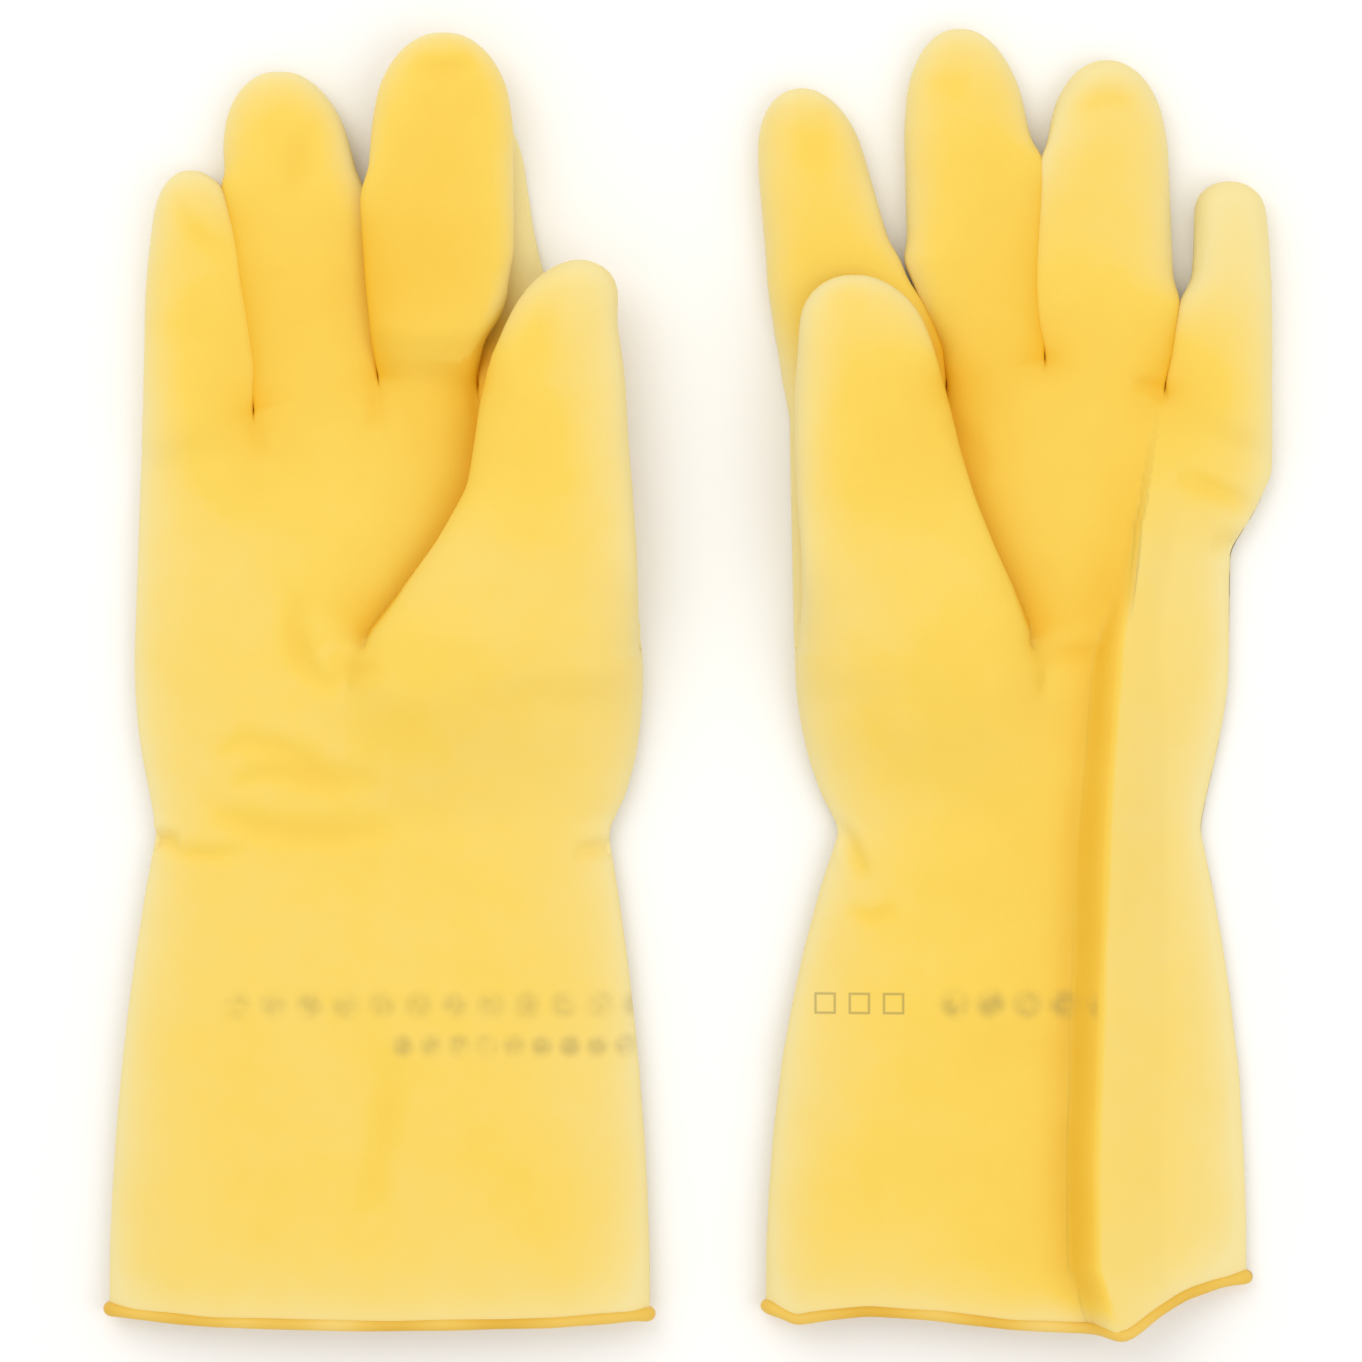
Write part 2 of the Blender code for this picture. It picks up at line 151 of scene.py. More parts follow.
# Matt white board: it throws back most of the light and shows no gloss.
board, tree = new_material("matt_white_board")
shader = add_node(tree, "ShaderNodeBsdfPrincipled", Base_Color=linear("f6f5f3"), Roughness=0.9)
add_node(tree, "ShaderNodeOutputMaterial", Surface=shader.outputs[0])
floor.data.materials.append(board)

world = bpy.data.worlds.new("soft_room")
world.use_nodes = True
world.node_tree.nodes["Background"].inputs["Color"].default_value = linear("fdfcfa")
world.node_tree.nodes["Background"].inputs["Strength"].default_value = SKY_STRENGTH
bpy.context.scene.world = world

for name, place, size, power in LAMPS:
    lamp = bpy.data.objects.new(name, bpy.data.lights.new(name, "AREA"))
    bpy.context.scene.collection.objects.link(lamp)
    lamp.data.shape = "DISK"
    lamp.data.size = size
    lamp.data.energy = power
    lamp.location = place
    lamp.rotation_euler = Vector(place).to_track_quat("Z", "Y").to_euler()
print("lamps:", [lamp[0] for lamp in LAMPS])

# %% [markdown]
# ## Measuring the frame
#
# The frame's solids are plain, faceted tubes of the right size. A grid that should lie where a
# solid lies needs to know how wide and how high the solid is at each place along the hand. So
# each solid is cut across, like a loaf, and the ends of every cut are kept. A glove is worked out
# with its thumb on the plus side, so "across" is x for the right-hand glove and -x for the other.

# %% Cut a solid across
TINY = 1e-9
FAR = 1e3


def smooth(share):
    """0 below 0, 1 above 1, and an even S between: 3 t squared minus 2 t cubed."""
    share = np.clip(share, 0.0, 1.0)
    return share * share * (3.0 - 2.0 * share)


def cuts(node, side, rows):
    """Least and greatest across, and lowest and highest z, of a node at each y in rows.

    Every edge from a to b that crosses y is cut at a + t (b - a), where
    t = (y - a.y) / (b.y - a.y). An edge that rises less than TINY is taken to rise TINY.
    """
    mesh = frame["nodes"][node].data
    points = np.empty(len(mesh.vertices) * 3)
    mesh.vertices.foreach_get("co", points)
    ends = np.empty(len(mesh.edges) * 2, int)
    mesh.edges.foreach_get("vertices", ends)
    points = points.reshape(-1, 3)
    a, b = points[ends.reshape(-1, 2)].transpose(1, 0, 2)
    rise = np.where(np.abs(b[:, 1] - a[:, 1]) < TINY, TINY, b[:, 1] - a[:, 1])
    share = (np.asarray(rows)[:, None] - a[:, 1]) / rise
    hit = (share >= 0.0) & (share <= 1.0)
    across = side * (a[:, 0] + share * (b[:, 0] - a[:, 0]))
    height = a[:, 2] + share * (b[:, 2] - a[:, 2])
    return np.array([
        np.where(hit, across, FAR).min(1), np.where(hit, across, -FAR).max(1),
        np.where(hit, height, FAR).min(1), np.where(hit, height, -FAR).max(1),
    ])


test = cuts("right_cuff", 1.0, [-0.1])[:, 0]
print("the right cuff 100 mm below the middle, in mm:", (test / MM).round(1))

# %% [markdown]
# ### The outline
#
# The solids are parted where the glove bends, and the cuts jump a little at each gap. A bell curve
# run along the cuts takes the jumps out and leaves one flowing outline, as the former gave it. The
# rim is not cut square: it hangs lower in the middle, and on the left glove it climbs beside the
# lengthwise fold. So its rise is given at a few places and drawn straight between them.

# %% The plan of one glove
STEP = 0.5 * MM
STALL_INSET = 0.1 * MM
END_INSET = 0.7 * MM
EDGE_BLUR = 1.3 * MM
BEAD = 2.6 * MM
# How the rim lies: places across from the middle of the wrist, and the rise there, in mm.
RIM_RISES = {
    "right": ((-66, 3.6), (-58, 2.4), (-40, 0.8), (0, 0), (40, 0.6), (66, 2.4)),
    "left": ((-56, 10.6), (-46, 8.8), (-39, 6.8), (-31, 2.6), (-25.6, -1.2), (-22.6, -2.4),
             (-19.5, -1), (2, -0.2), (20, 2), (36, 3), (46, 1.9), (53, 0.6), (60, 3.6)),
}


def even_rows(node, inset):
    """Rows STEP apart from end to end of a node."""
    low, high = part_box(node)
    return np.arange(low.y + inset, high.y - inset, STEP)


def blur(values, width, odd_end=False):
    """A run of values smoothed by a bell curve of that width, in metres along the rows.

    The run is mirrored at its ends, and with odd_end turned over there, so a zero stays a zero.
    """
    reach = int(3.0 * width / STEP)
    bell = np.exp(-0.5 * (np.arange(-reach, reach + 1) * STEP / width) ** 2)
    tail = values[-2:-reach - 2:-1]
    tail = 2.0 * values[-1] - tail if odd_end else tail
    run = np.concatenate([values[reach:0:-1], values, tail])
    return np.convolve(run, bell / bell.sum(), "valid")


def rim_rise(glove, u):
    """How far the rim lies above the frame's lowest rim, at places across."""
    across, rise = np.array(RIM_RISES[glove["name"]]).T * MM
    return np.interp(u - glove["centre"], across, rise)


def plan(name):
    """Where a glove's rim, wrist and thumb crotch are, and its side edges."""
    side = SIDES[name]
    wrist = next(j for j in frame["joints"] if j["name"] == f"{name}_wrist_fold")["pos_m"]
    glove = {"name": name, "side": side, "centre": side * wrist[0], "wrist": wrist[1]}
    glove["rim"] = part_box(f"{name}_cuff_bead")[0].y + BEAD / 2.0
    glove["crotch"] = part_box(f"{name}_palm")[0].y
    rows, sides = [], []
    for node in ("cuff", "heel", "palm"):
        y = even_rows(f"{name}_{node}", END_INSET)
        y = y[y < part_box(f"{name}_little")[0].y - END_INSET] if node == "palm" else y
        rows.append(y)
        sides.append(cuts(f"{name}_{node}", side, y)[:2])
    y, (low, high) = np.concatenate(rows), np.concatenate(sides, axis=1)
    even = np.arange(y[0], y[-1], STEP)
    glove["rows"] = even
    for key, edge, place in (("low", low, -1.0), ("high", high, 1.0)):
        line = blur(np.interp(even, y, edge), EDGE_BLUR)
        whole = glove["rim"] + rim_rise(glove, glove["centre"] + place) + 2.0 * BEAD
        glove[key] = np.where(even < whole, np.interp(whole, even, line), line)
    return glove


gloves = [plan(name) for name in SIDES]
for glove in gloves:
    places = [round(glove[key] / MM, 1) for key in ("rim", "wrist", "crotch")]
    print(glove["name"], "rim, wrist and crotch in mm:", places)

# %% [markdown]
# ### Fingers side by side
#
# A finger's solid starts with a slanted mouth, so its first cuts are narrower than the finger, and
# its sides are taken from the first full cut on. Where the frame keeps two fingers only a narrow
# gap apart, real ones press on each other, so there the two sides are moved until they meet.

# %% The stalls' own sides
CLOSE = 2.2 * MM
TOUCH = 0.3 * MM
FREE_GAP = 3.0 * MM
TOUCH_BLUR = 5.0 * MM
MOUTH_SLOPE = 1.7
MOUTH_REACH = 12.0 * MM
TIP_BLUR = 2.5 * MM


def stall_plan(glove, stall):
    """A stall's side lines, corners, underside and top along its length.

    Near the tip its half width squared is nearly a straight line, so that is what is smoothed.
    """
    node = f"{glove['name']}_{stall}"
    y = even_rows(node, STALL_INSET)
    low, high, under, top = cuts(node, glove["side"], y)
    near_mouth = y < y[0] + MOUTH_REACH
    first_low, first_high = (
        int(np.max(np.nonzero((np.abs(np.gradient(edge, y)) > MOUTH_SLOPE) & near_mouth)[0],
                   initial=-1)) + 1 for edge in (low, high))
    first = max(first_low, first_high)
    middle = blur((low + high)[first:] / 2.0, EDGE_BLUR)
    half = (high - low)[first:] / 2.0
    half = blur(np.append(half ** 2, 0.0), TIP_BLUR, odd_end=True)[:-1]
    half = np.sqrt(np.maximum(half, 0.0))
    low[first:], high[first:] = middle - half, middle + half
    low[:first_low], high[:first_high] = low[first_low], high[first_high]
    none, every = np.zeros_like(y), np.ones_like(y)
    return {
        "y": y, "low": low, "high": high, "tip": float(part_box(node)[1].y),
        "touch_low": none, "touch_high": none, "free_low": every, "free_high": every,
        "under": blur(under, EDGE_BLUR), "top": blur(top, EDGE_BLUR),
        "corner_low": (low[first_low], y[first_low]),
        "corner_high": (high[first_high], y[first_high]),
    }


def bring_together(first, second):
    """Moves two stalls' sides until they touch, where the frame leaves only a narrow gap there.

    The whole gap is closed while it is under CLOSE, and less and less of it up to twice CLOSE.
    It also keeps how much each side touches, and how much of it lies free.
    """
    gap_first = np.interp(first["y"], second["y"], second["low"], right=1.0) - first["high"]
    gap_second = second["low"] - np.interp(second["y"], first["y"], first["high"], right=-1.0)
    sides = ((first, "high", gap_first, 1.0), (second, "low", gap_second, -1.0))
    for shape, key, gap, sign in sides:
        near = (1.0 - smooth(gap / CLOSE - 1.0)) * (gap > -TOUCH)
        above = (gap < -TOUCH) * (key == "high")
        shape[key] = shape[key] + sign * blur(near * (gap / 2.0 + TOUCH), EDGE_BLUR)
        shape[f"touch_{key}"] = blur(near, TOUCH_BLUR)
        shape[f"free_{key}"] = blur(smooth(gap / FREE_GAP) + 1.0 * above, TOUCH_BLUR)


for glove in gloves:
    for stall in (*STALLS, "thumb"):
        glove[stall] = stall_plan(glove, stall)
    corners = [glove["little"]["corner_low"]]
    for left, right in zip(STALLS, STALLS[1:]):
        ends = np.array([glove[left]["corner_high"], glove[right]["corner_low"]])
        corners.append(ends.mean(axis=0))
    corners.append(glove["index"]["corner_high"])
    glove["knuckles"] = np.array(corners)
    for left, right in zip(STALLS, STALLS[1:]):
        bring_together(glove[left], glove[right])
    print(glove["name"], "knuckles in mm:", (glove["knuckles"] / MM).round(1).tolist())

# %% [markdown]
# ## The skin
#
# Latex that was formed round a hand keeps some air in it when it lies down, so its section is a
# flattened tube: nearly level on top, flat below, and quickly rounded at the sides. The heel of
# the hand and the palm are one grid with 128 columns across its top. At the knuckle line the palm
# is pinched three times, and each quarter of its columns runs on into a finger. The same is done
# at the crotch of the thumb, where half the top columns climb into the thumb and the other half
# pass beneath it.

# %% The section of a flattened tube
COLUMNS = 128
EDGE_SHARE = 0.38
TOP_FULLNESS = 2.4
UNDER_FULLNESS = 3.0
UNDER_FLAT = 1.06


def arch(share, fullness):
    """1 in the middle and 0 at -1 and 1: the root of 1 - |share| ^ fullness, of the same order."""
    return np.clip(1.0 - np.abs(share) ** fullness, 0.0, 1.0) ** (1.0 / fullness)


def section(u, low, high, under, top, edge_low=EDGE_SHARE, edge_high=EDGE_SHARE):
    """Heights of the upper and the lower skin at u, for sides at low and high.

    edge_low and edge_high are how high the two sides stand, as a share from under to top.
    """
    share = np.clip((2.0 * u - low - high) / np.maximum(high - low, TINY), -1.0, 1.0)
    lift = edge_low + (edge_high - edge_low) * (share + 1.0) / 2.0
    edge = under + lift * (top - under)
    over = edge + (top - edge) * arch(share, TOP_FULLNESS)
    below = edge - (edge - under) * np.minimum(1.0, UNDER_FLAT * arch(share, UNDER_FULLNESS))
    return over, below


def tube_columns(low, high, count):
    """Places across from low to high, closer together at the sides: steps of a cosine."""
    share = (1.0 - np.cos(np.pi * np.arange(count + 1) / count)) / 2.0
    return low[:, None] + (high - low)[:, None] * share


def loops(u, y, over, below):
    """Closed loops from the upper skin and the way back along the lower one, row by row."""
    top = np.stack([u, y, over], axis=-1)
    back = np.stack([u, y, below], axis=-1)[:, -2:0:-1]
    return np.concatenate([top, back], axis=1)


print("columns round a glove:", 2 * COLUMNS)

# %% [markdown]
# ### The lengthwise fold
#
# The left glove keeps a fold along its length: its skin stands up in a ridge from the rim to the
# little finger. It climbs evenly from the outer side to the ridge, and drops off steeply beyond
# it. A crease in the mesh would look like a cut, so the ridge is a formula for the height.

# %% The crown of the hand
CUFF_TOP = 12.0 * MM
WRIST_TOP = 10.0 * MM
PALM_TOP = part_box("right_palm")[1].z
THUMB_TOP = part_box("right_thumb")[1].z
FOLDED = "left"
FOLD_STAGES = (0.0, 0.04, 0.12, 0.3, 1.0, 2.0, 3.0)
FOLD_ACROSS = np.array([-22.4, -20.4, -17.2, -16.6, -19.8, -22.7, -33.0]) * MM
FOLD_HEIGHT = 21.5 * MM
FOLD_SHARES = (1.0, 0.92, 0.78, 0.0)
FOLD_DROP = 13.0 * MM
FOLD_BLUNT = 0.7 * MM
FOLD_BLUNT_RUN = 2.5 * MM
OUTER_LOSS = 0.4
OUTER_RUN = 20.0 * MM
print("palm and thumb tops in mm:", round(PALM_TOP / MM, 1), round(THUMB_TOP / MM, 1))


def at(stage, values):
    """A value at a stage of the hand: 0 is the rim, 1 the wrist, 2 the crotch, 3 the knuckles."""
    return np.interp(stage, (0.0, 1.0, 2.0, 3.0), values)


def fold_line(glove, stage):
    """Where the lengthwise fold runs, across, at a stage of the hand."""
    return glove["centre"] + np.interp(stage, FOLD_STAGES, FOLD_ACROSS)


def crown(glove, stage, u, low):
    """How high the upper skin stands before its sides are rounded off.

    On the folded glove it is the greater of the plain height and the fold's own, which climbs as
    (u - low) / (line - low) and falls as 1 - smooth(distance / drop).
    """
    level = at(stage, (CUFF_TOP, WRIST_TOP, PALM_TOP, PALM_TOP)) + 0.0 * u
    if glove["name"] != FOLDED:
        return level
    line = fold_line(glove, stage)
    height = FOLD_HEIGHT * at(stage, FOLD_SHARES)
    climb = np.clip((u - low) / np.maximum(line - low, MM), 0.0, 1.0)
    fade = np.clip(3.0 - stage, 0.0, 1.0)
    outer = level * (1.0 - OUTER_LOSS * fade * (1.0 - smooth((u - low) / OUTER_RUN)))
    slope = height * np.where(u < line, climb, 1.0 - smooth((u - line) / FOLD_DROP))
    blunt = FOLD_BLUNT * np.exp(-((u - line) / FOLD_BLUNT_RUN) ** 2)
    base = np.where(u < line, outer, level)
    return np.maximum(
        base, slope + (1.0 - fade) * outer * (u < line) - blunt * height / FOLD_HEIGHT)


# %% The knuckle line and the pinches between the fingers
WEB_SHARE = 0.86


def knuckle_y(glove, u):
    """Where the knuckle line runs: straight from crotch to crotch."""
    return np.interp(u, glove["knuckles"][:, 0], glove["knuckles"][:, 1])


def pinched(glove, u):
    """The section at the knuckle line: four arches side by side, which meet at the crotches."""
    places = glove["knuckles"][:, 0]
    lobe = np.clip(np.searchsorted(places, u, side="right") - 1, 0, 3)
    edge_low = np.array([EDGE_SHARE, WEB_SHARE, WEB_SHARE, WEB_SHARE])[lobe]
    edge_high = np.array([WEB_SHARE, WEB_SHARE, WEB_SHARE, EDGE_SHARE])[lobe]
    return section(u, places[lobe], places[lobe + 1], 0.0, PALM_TOP, edge_low, edge_high)


# %% The columns of the hand
FOLD_COLUMN = 48
FOLD_FADE = (2.35, 3.0)


def hand_columns(glove, stages, low, high):
    """Places across the hand, row by row, from side to side.

    Each half takes quarter-circle steps from its side to the middle column, which runs from the
    middle of the cuff to the thumb's mouth. Towards the knuckles the columns pass over to those
    of the four fingers, and along the fold one column is drawn onto its line.
    """
    half, quarter = COLUMNS // 2, COLUMNS // 4
    mouth, knuckles = glove["thumb"]["low"][0], glove["knuckles"][:, 0]
    inner = at(stages, (glove["centre"], glove["centre"], mouth, knuckles[2]))
    turn = np.pi / 2.0 * np.arange(half + 1) / half
    u = np.concatenate([
        inner - (inner - low) * np.cos(turn), (inner + (high - inner) * np.sin(turn))[:, 1:],
    ], axis=1)
    lobes = [tube_columns(knuckles[k:k + 1], knuckles[k + 1:k + 2], quarter) for k in range(4)]
    fingers = np.concatenate([lobes[0]] + [lobe[:, 1:] for lobe in lobes[1:]], axis=1)
    share = (fingers - knuckles[0]) / (knuckles[-1] - knuckles[0])
    u = u + (low + (high - low) * share - u) * smooth(stages - 2.0)
    if glove["name"] == FOLDED:
        fade = 1.0 - smooth((stages - FOLD_FADE[0]) / (FOLD_FADE[1] - FOLD_FADE[0]))
        shift = (fold_line(glove, stages) - u[:, FOLD_COLUMN:FOLD_COLUMN + 1]) * fade
        drawn = np.interp(np.arange(COLUMNS + 1), (0, FOLD_COLUMN, half), (0.0, 1.0, 0.0))
        u = u + shift * drawn
    return u


# %% The hand, from rim to knuckles
WEB_RUN = 11.0 * MM
WEB_SHARPNESS = 1.5
WEB_LIFT = 0.2
WEB_LIFT_RUN = 9.0 * MM
RIM_REACH = 0.3
MOUND_RUN = 13.0 * MM
MOUND_SOFTNESS = 12.0 * MM
MOUND_WIDTH = 2.4
MOUND_FULLNESS = 2.0


def mound_height(glove, stages, u, y, low, high):
    """How far the heel swells into the thumb's root, over the half that the thumb grows from.

    It is a soft arch over the whole hand, which turns into the thumb's own arch at the crotch.
    """
    mouth = glove["thumb"]["low"][0]
    share = np.clip((2.0 * u - mouth - high) / (high - mouth), -1.0, 1.0)
    sharp = np.where(u > mouth, arch(share, TOP_FULLNESS), 0.0)
    whole = np.clip((2.0 * u - low - high) / (high - low), -1.0, 1.0)
    begin = smooth((u - mouth + MOUND_SOFTNESS) / (MOUND_WIDTH * MOUND_SOFTNESS))
    soft = begin * arch(whole, MOUND_FULLNESS)
    near_crotch = smooth(1.0 - (glove["crotch"] - y) / MOUND_RUN)
    swell = (THUMB_TOP - PALM_TOP) * smooth(stages - 1.0)
    return swell * (soft + (sharp - soft) * near_crotch)


def hand_rows(glove, stages, mound):
    """The hand's loops at some stages. With mound, they swell into the thumb."""
    stages = np.asarray(stages, float)[:, None]
    rim, wrist, crotch = glove["rim"], glove["wrist"], glove["crotch"]
    (low_end, near), (high_end, far) = glove["knuckles"][0], glove["knuckles"][-1]
    y_low, y_high = (at(stages, (rim, wrist, crotch, end)) for end in (near, far))
    low = np.interp(y_low, glove["rows"], glove["low"])
    high = np.interp(y_high, glove["rows"], glove["high"])
    low = np.where(stages >= 3.0, low_end, low)
    high = np.where(stages >= 3.0, high_end, high)
    u = hand_columns(glove, stages, low, high)
    y = at(stages, (rim, wrist, crotch, 0.0)) + 0.0 * u
    reach = knuckle_y(glove, u) - crotch
    y = np.where(stages > 2.0, crotch + (stages - 2.0) * reach, y)
    y = y + rim_rise(glove, u) * (1.0 - smooth(stages / RIM_REACH))
    edge_high = EDGE_SHARE + WEB_LIFT * np.exp(-((y_high - crotch) / WEB_LIFT_RUN) ** 2)
    top = crown(glove, stages, u, low)
    over, below = section(u, low, high, 0.0, top, EDGE_SHARE, edge_high)
    arches = pinched(glove, u)
    pinch = smooth(1.0 - (3.0 - stages) * reach / WEB_RUN) ** WEB_SHARPNESS
    pinch = np.where(stages > 2.0, pinch, 0.0)
    over = over + (arches[0] - over) * pinch
    below = below + (arches[1] - below) * pinch
    if mound:
        over = over + mound_height(glove, stages, u, y, low, high)
    return loops(u, y, over, below)


# %% [markdown]
# ### Fingers and thumb
#
# A stall is a tube that ends in a dome. The rows of the dome are set by the sine of an angle, so
# that they draw together towards the tip, and the last row closes on one point, the pole.

# %% A stall's sides
ROW = 1.2 * MM
TIP_ROWS = 16
DOME_SHARE = 0.62
# How far a stall's two sides lie over its neighbours. A lap grows over LAP_START from the mouth
# on, and dies over the second LAP_END, down to nothing at the first one short of the tip.
LAP_START = 12.0 * MM
LAP_END = (4.0 * MM, 16.0 * MM)
LAPS = {
    ("right", "little"): (0.0, 1.2 * MM),
    ("right", "ring"): (0.0, 1.0 * MM),
    ("left", "ring"): (0.0, 0.8 * MM),
}
# Where a stall bulges over its neighbour: the place above the mouth, and the width.
BULGES = {("right", "middle"): (14.0 * MM, 2.6 * MM)}
BULGE_RUN = 8.0 * MM


def stall_lines(glove, stall, mouth, tip, slant_at_mouth):
    """A stall's rows, how much each one is slanted, its two sides, and how much it laps."""
    shape = glove[stall]
    depth = DOME_SHARE * (shape["high"] - shape["low"]).max()
    body = np.arange(0.0, tip - depth - mouth, ROW)
    turn = np.linspace(0.0, np.pi / 2.0, TIP_ROWS + 1)[:-1]
    y = np.concatenate([mouth + body, tip - depth + depth * np.sin(turn)])
    slant = slant_at_mouth * (1.0 - (y - mouth) / (tip - mouth)) ** 2
    lap = smooth((y - mouth) / LAP_START) * smooth((tip - y - LAP_END[0]) / LAP_END[1])
    left_lap, right_lap = LAPS.get((glove["name"], stall), (0.0, 0.0))
    low = np.interp(y - slant, shape["y"], shape["low"]) - left_lap * lap
    high = np.interp(y + slant, shape["y"], shape["high"]) + right_lap * lap
    place, width = BULGES.get((glove["name"], stall), (0.0, 0.0))
    high = high + width * np.exp(-((y - mouth - place) / BULGE_RUN) ** 2)
    laps = (left_lap > 0.0) * lap, (right_lap > 0.0) * lap
    return y, slant, low, high, laps


# %% A stall's rows
TIP_DEPTH = 7.5 * MM
TIP_FULLNESS = 2.4
SETTLE = {**dict.fromkeys(STALLS, 9.0 * MM), "thumb": 26.0 * MM}
EDGE_RAISE = 0.12
TOUCH_RAISE = 0.25


def stall_rows(glove, stall, first):
    """The loops of a stall, from its first loop to the pole at its tip.

    Each row is the section of the frame's own stall there. What the first loop differs from that
    section dies away over SETTLE, so the stall grows out of the hand with no step.
    """
    shape, count = glove[stall], first.shape[0] // 2
    (u_low, y_low), (u_high, y_high) = first[0, :2], first[count, :2]
    mouth, tip, last = (y_low + y_high) / 2.0, shape["tip"], shape["y"][-1]
    y, slant, low, high, laps = stall_lines(glove, stall, mouth, tip, (y_high - y_low) / 2.0)
    low[0], high[0] = u_low, u_high
    round_off = 1.0 - np.sqrt(np.clip((tip - y) / (tip - last), 0.0, 1.0))
    low, high = low + round_off * (high - low) / 2.0, high - round_off * (high - low) / 2.0
    full = shape["y"] < tip - TIP_DEPTH
    under = np.interp(y, shape["y"], shape["under"])[:, None]
    top = np.interp(y, shape["y"][full], shape["top"][full])[:, None]
    sides = []
    for key, lap in zip(("low", "high"), laps):
        touch = np.interp(y, shape["y"], shape[f"touch_{key}"])
        sides.append((EDGE_SHARE + (TOUCH_RAISE * touch + EDGE_RAISE * lap))[:, None])
    u = tube_columns(low, high, count)
    over, below = section(u, low[:, None], high[:, None], under, top, *sides)
    middle = under + EDGE_SHARE * (top - under)
    thin = arch(np.clip((y - tip + TIP_DEPTH) / TIP_DEPTH, 0.0, 1.0), TIP_FULLNESS)[:, None]
    over, below = middle + (over - middle) * thin, middle + (below - middle) * thin
    across = (2.0 * u - (low + high)[:, None]) / (high - low)[:, None]
    grid = loops(u, y[:, None] + slant[:, None] * across, over, below)
    grid += (first - grid[0]) * (1.0 - smooth((y - mouth) / SETTLE[stall]))[:, None, None]
    return grid, np.array([(low[-1] + high[-1]) / 2.0, tip, middle[-1, 0]])


# %% One glove as grids
def stages_between(first, run):
    """Evenly spaced stages, ROW apart, for one stretch of the hand that is run metres long."""
    return np.linspace(first, first + 1.0, int(round(run / ROW)) + 1)


def glove_grids(glove):
    """Every grid of a glove as (piece, loops, pole), in the glove's own across, y and z."""
    cuff_run = glove["wrist"] - glove["rim"]
    heel_run = glove["crotch"] - glove["wrist"]
    palm_run = glove["knuckles"][:, 1].max() - glove["crotch"]
    cuff = hand_rows(glove, stages_between(0.0, cuff_run), mound=False)
    heel = hand_rows(glove, stages_between(1.0, heel_run), mound=True)
    palm = hand_rows(glove, stages_between(2.0, palm_run), mound=False)
    half, quarter = COLUMNS // 2, COLUMNS // 4
    heel[-1, :half + 1] = palm[0, :half + 1]
    heel[-1, COLUMNS:] = palm[0, COLUMNS:]
    grids = [("cuff", cuff, None), ("hand", heel, None), ("hand", palm, None)]
    web = palm[0, half + 1:COLUMNS][::-1]
    first = np.concatenate([heel[-1, half:COLUMNS + 1], web])
    grids.append(("thumb", *stall_rows(glove, "thumb", first)))
    last = palm[-1]
    for number, stall in enumerate(STALLS):
        start, end = number * quarter, (number + 1) * quarter
        under = [last[-column % (2 * COLUMNS)] for column in range(end - 1, start, -1)]
        first = np.concatenate([last[start:end + 1], np.array(under)])
        grids.append((stall, *stall_rows(glove, stall, first)))
    return grids


for glove in gloves:
    glove["grids"] = glove_grids(glove)
    rows = [(piece, len(loop)) for piece, loop, pole in glove["grids"]]
    print(glove["name"], "rows in each grid:", rows)

# %% [markdown]
# ## From grids to one skin
#
# The grids of a glove share their end rows, so welding equal points makes one unbroken surface.
# The webs between the fingers and at the thumb are then relaxed: each point there moves a little
# towards the middle of its neighbours, a few times over, which is how a stretched skin rounds off
# a sharp fork.

# %% Weld the grids
WELD = 0.002 * MM


def ring_faces(start, rows, columns, pole):
    """Quads between neighbouring loops, and a fan from the last loop to the pole, if any.

    A triangle of the fan is kept as a quad whose last two corners are the same.
    """
    a = start + np.arange(rows - 1)[:, None] * columns + np.arange(columns)
    b = start + np.arange(rows - 1)[:, None] * columns + (np.arange(columns) + 1) % columns
    quads = np.stack([a, b, b + columns, a + columns], axis=-1).reshape(-1, 4)
    if pole:
        last, end = start + (rows - 1) * columns, start + rows * columns
        ring, tip = np.arange(columns), np.full(columns, end)
        fan = np.stack([last + ring, last + (ring + 1) % columns, tip, tip], axis=1)
        quads = np.concatenate([quads, fan])
    return quads


def weld(glove):
    """One skin from all the grids: its points, its quads, and the piece each quad belongs to."""
    points, quads, labels, total = [], [], [], 0
    for piece, loop, pole in glove["grids"]:
        rows, columns = loop.shape[:2]
        faces = ring_faces(total, rows, columns, pole is not None)
        points.append(loop.reshape(-1, 3))
        if pole is not None:
            points.append(pole[None])
        quads.append(faces)
        labels += [piece] * len(faces)
        total += rows * columns + (pole is not None)
    points = np.concatenate(points)
    _, first, where = np.unique(np.round(points / WELD).astype(np.int64), axis=0,
                                return_index=True, return_inverse=True)
    quads, labels = where.reshape(-1)[np.concatenate(quads)], np.array(labels)
    a, b, c, d = quads.T
    keep = (a != b) & (b != c) & (d != a)
    return points[first], quads[keep], labels[keep]


# %% Relax the webs
FORK_RADIUS = 7.0 * MM
FORK_PULL = 0.5
THUMB_WEB_REACH = 6.0 * MM
THUMB_WEB_FLOOR = 5.0 * MM
KNUCKLE_REACH = 7.0 * MM
SIDE_REACH = 9.0 * MM
LINE_PULL = 0.45
RELAX_TIMES = 14
NO_LENGTH = 1e-12


def edges_of(quads):
    """Every side of every quad as a row of its two points, without a triangle's doubled side."""
    sides = np.concatenate([quads[:, (k, (k + 1) % 4)] for k in range(4)])
    return sides[sides[:, 0] != sides[:, 1]]


def relax(points, edges, strength, times):
    """Moves each point towards the mean of its neighbours, strength of the way, times over."""
    count = np.bincount(edges.ravel(), minlength=len(points))[:, None]
    for _ in range(times):
        total = np.zeros_like(points)
        np.add.at(total, edges[:, 0], points[edges[:, 1]])
        np.add.at(total, edges[:, 1], points[edges[:, 0]])
        points = points + (total / count - points) * strength[:, None]
    return points


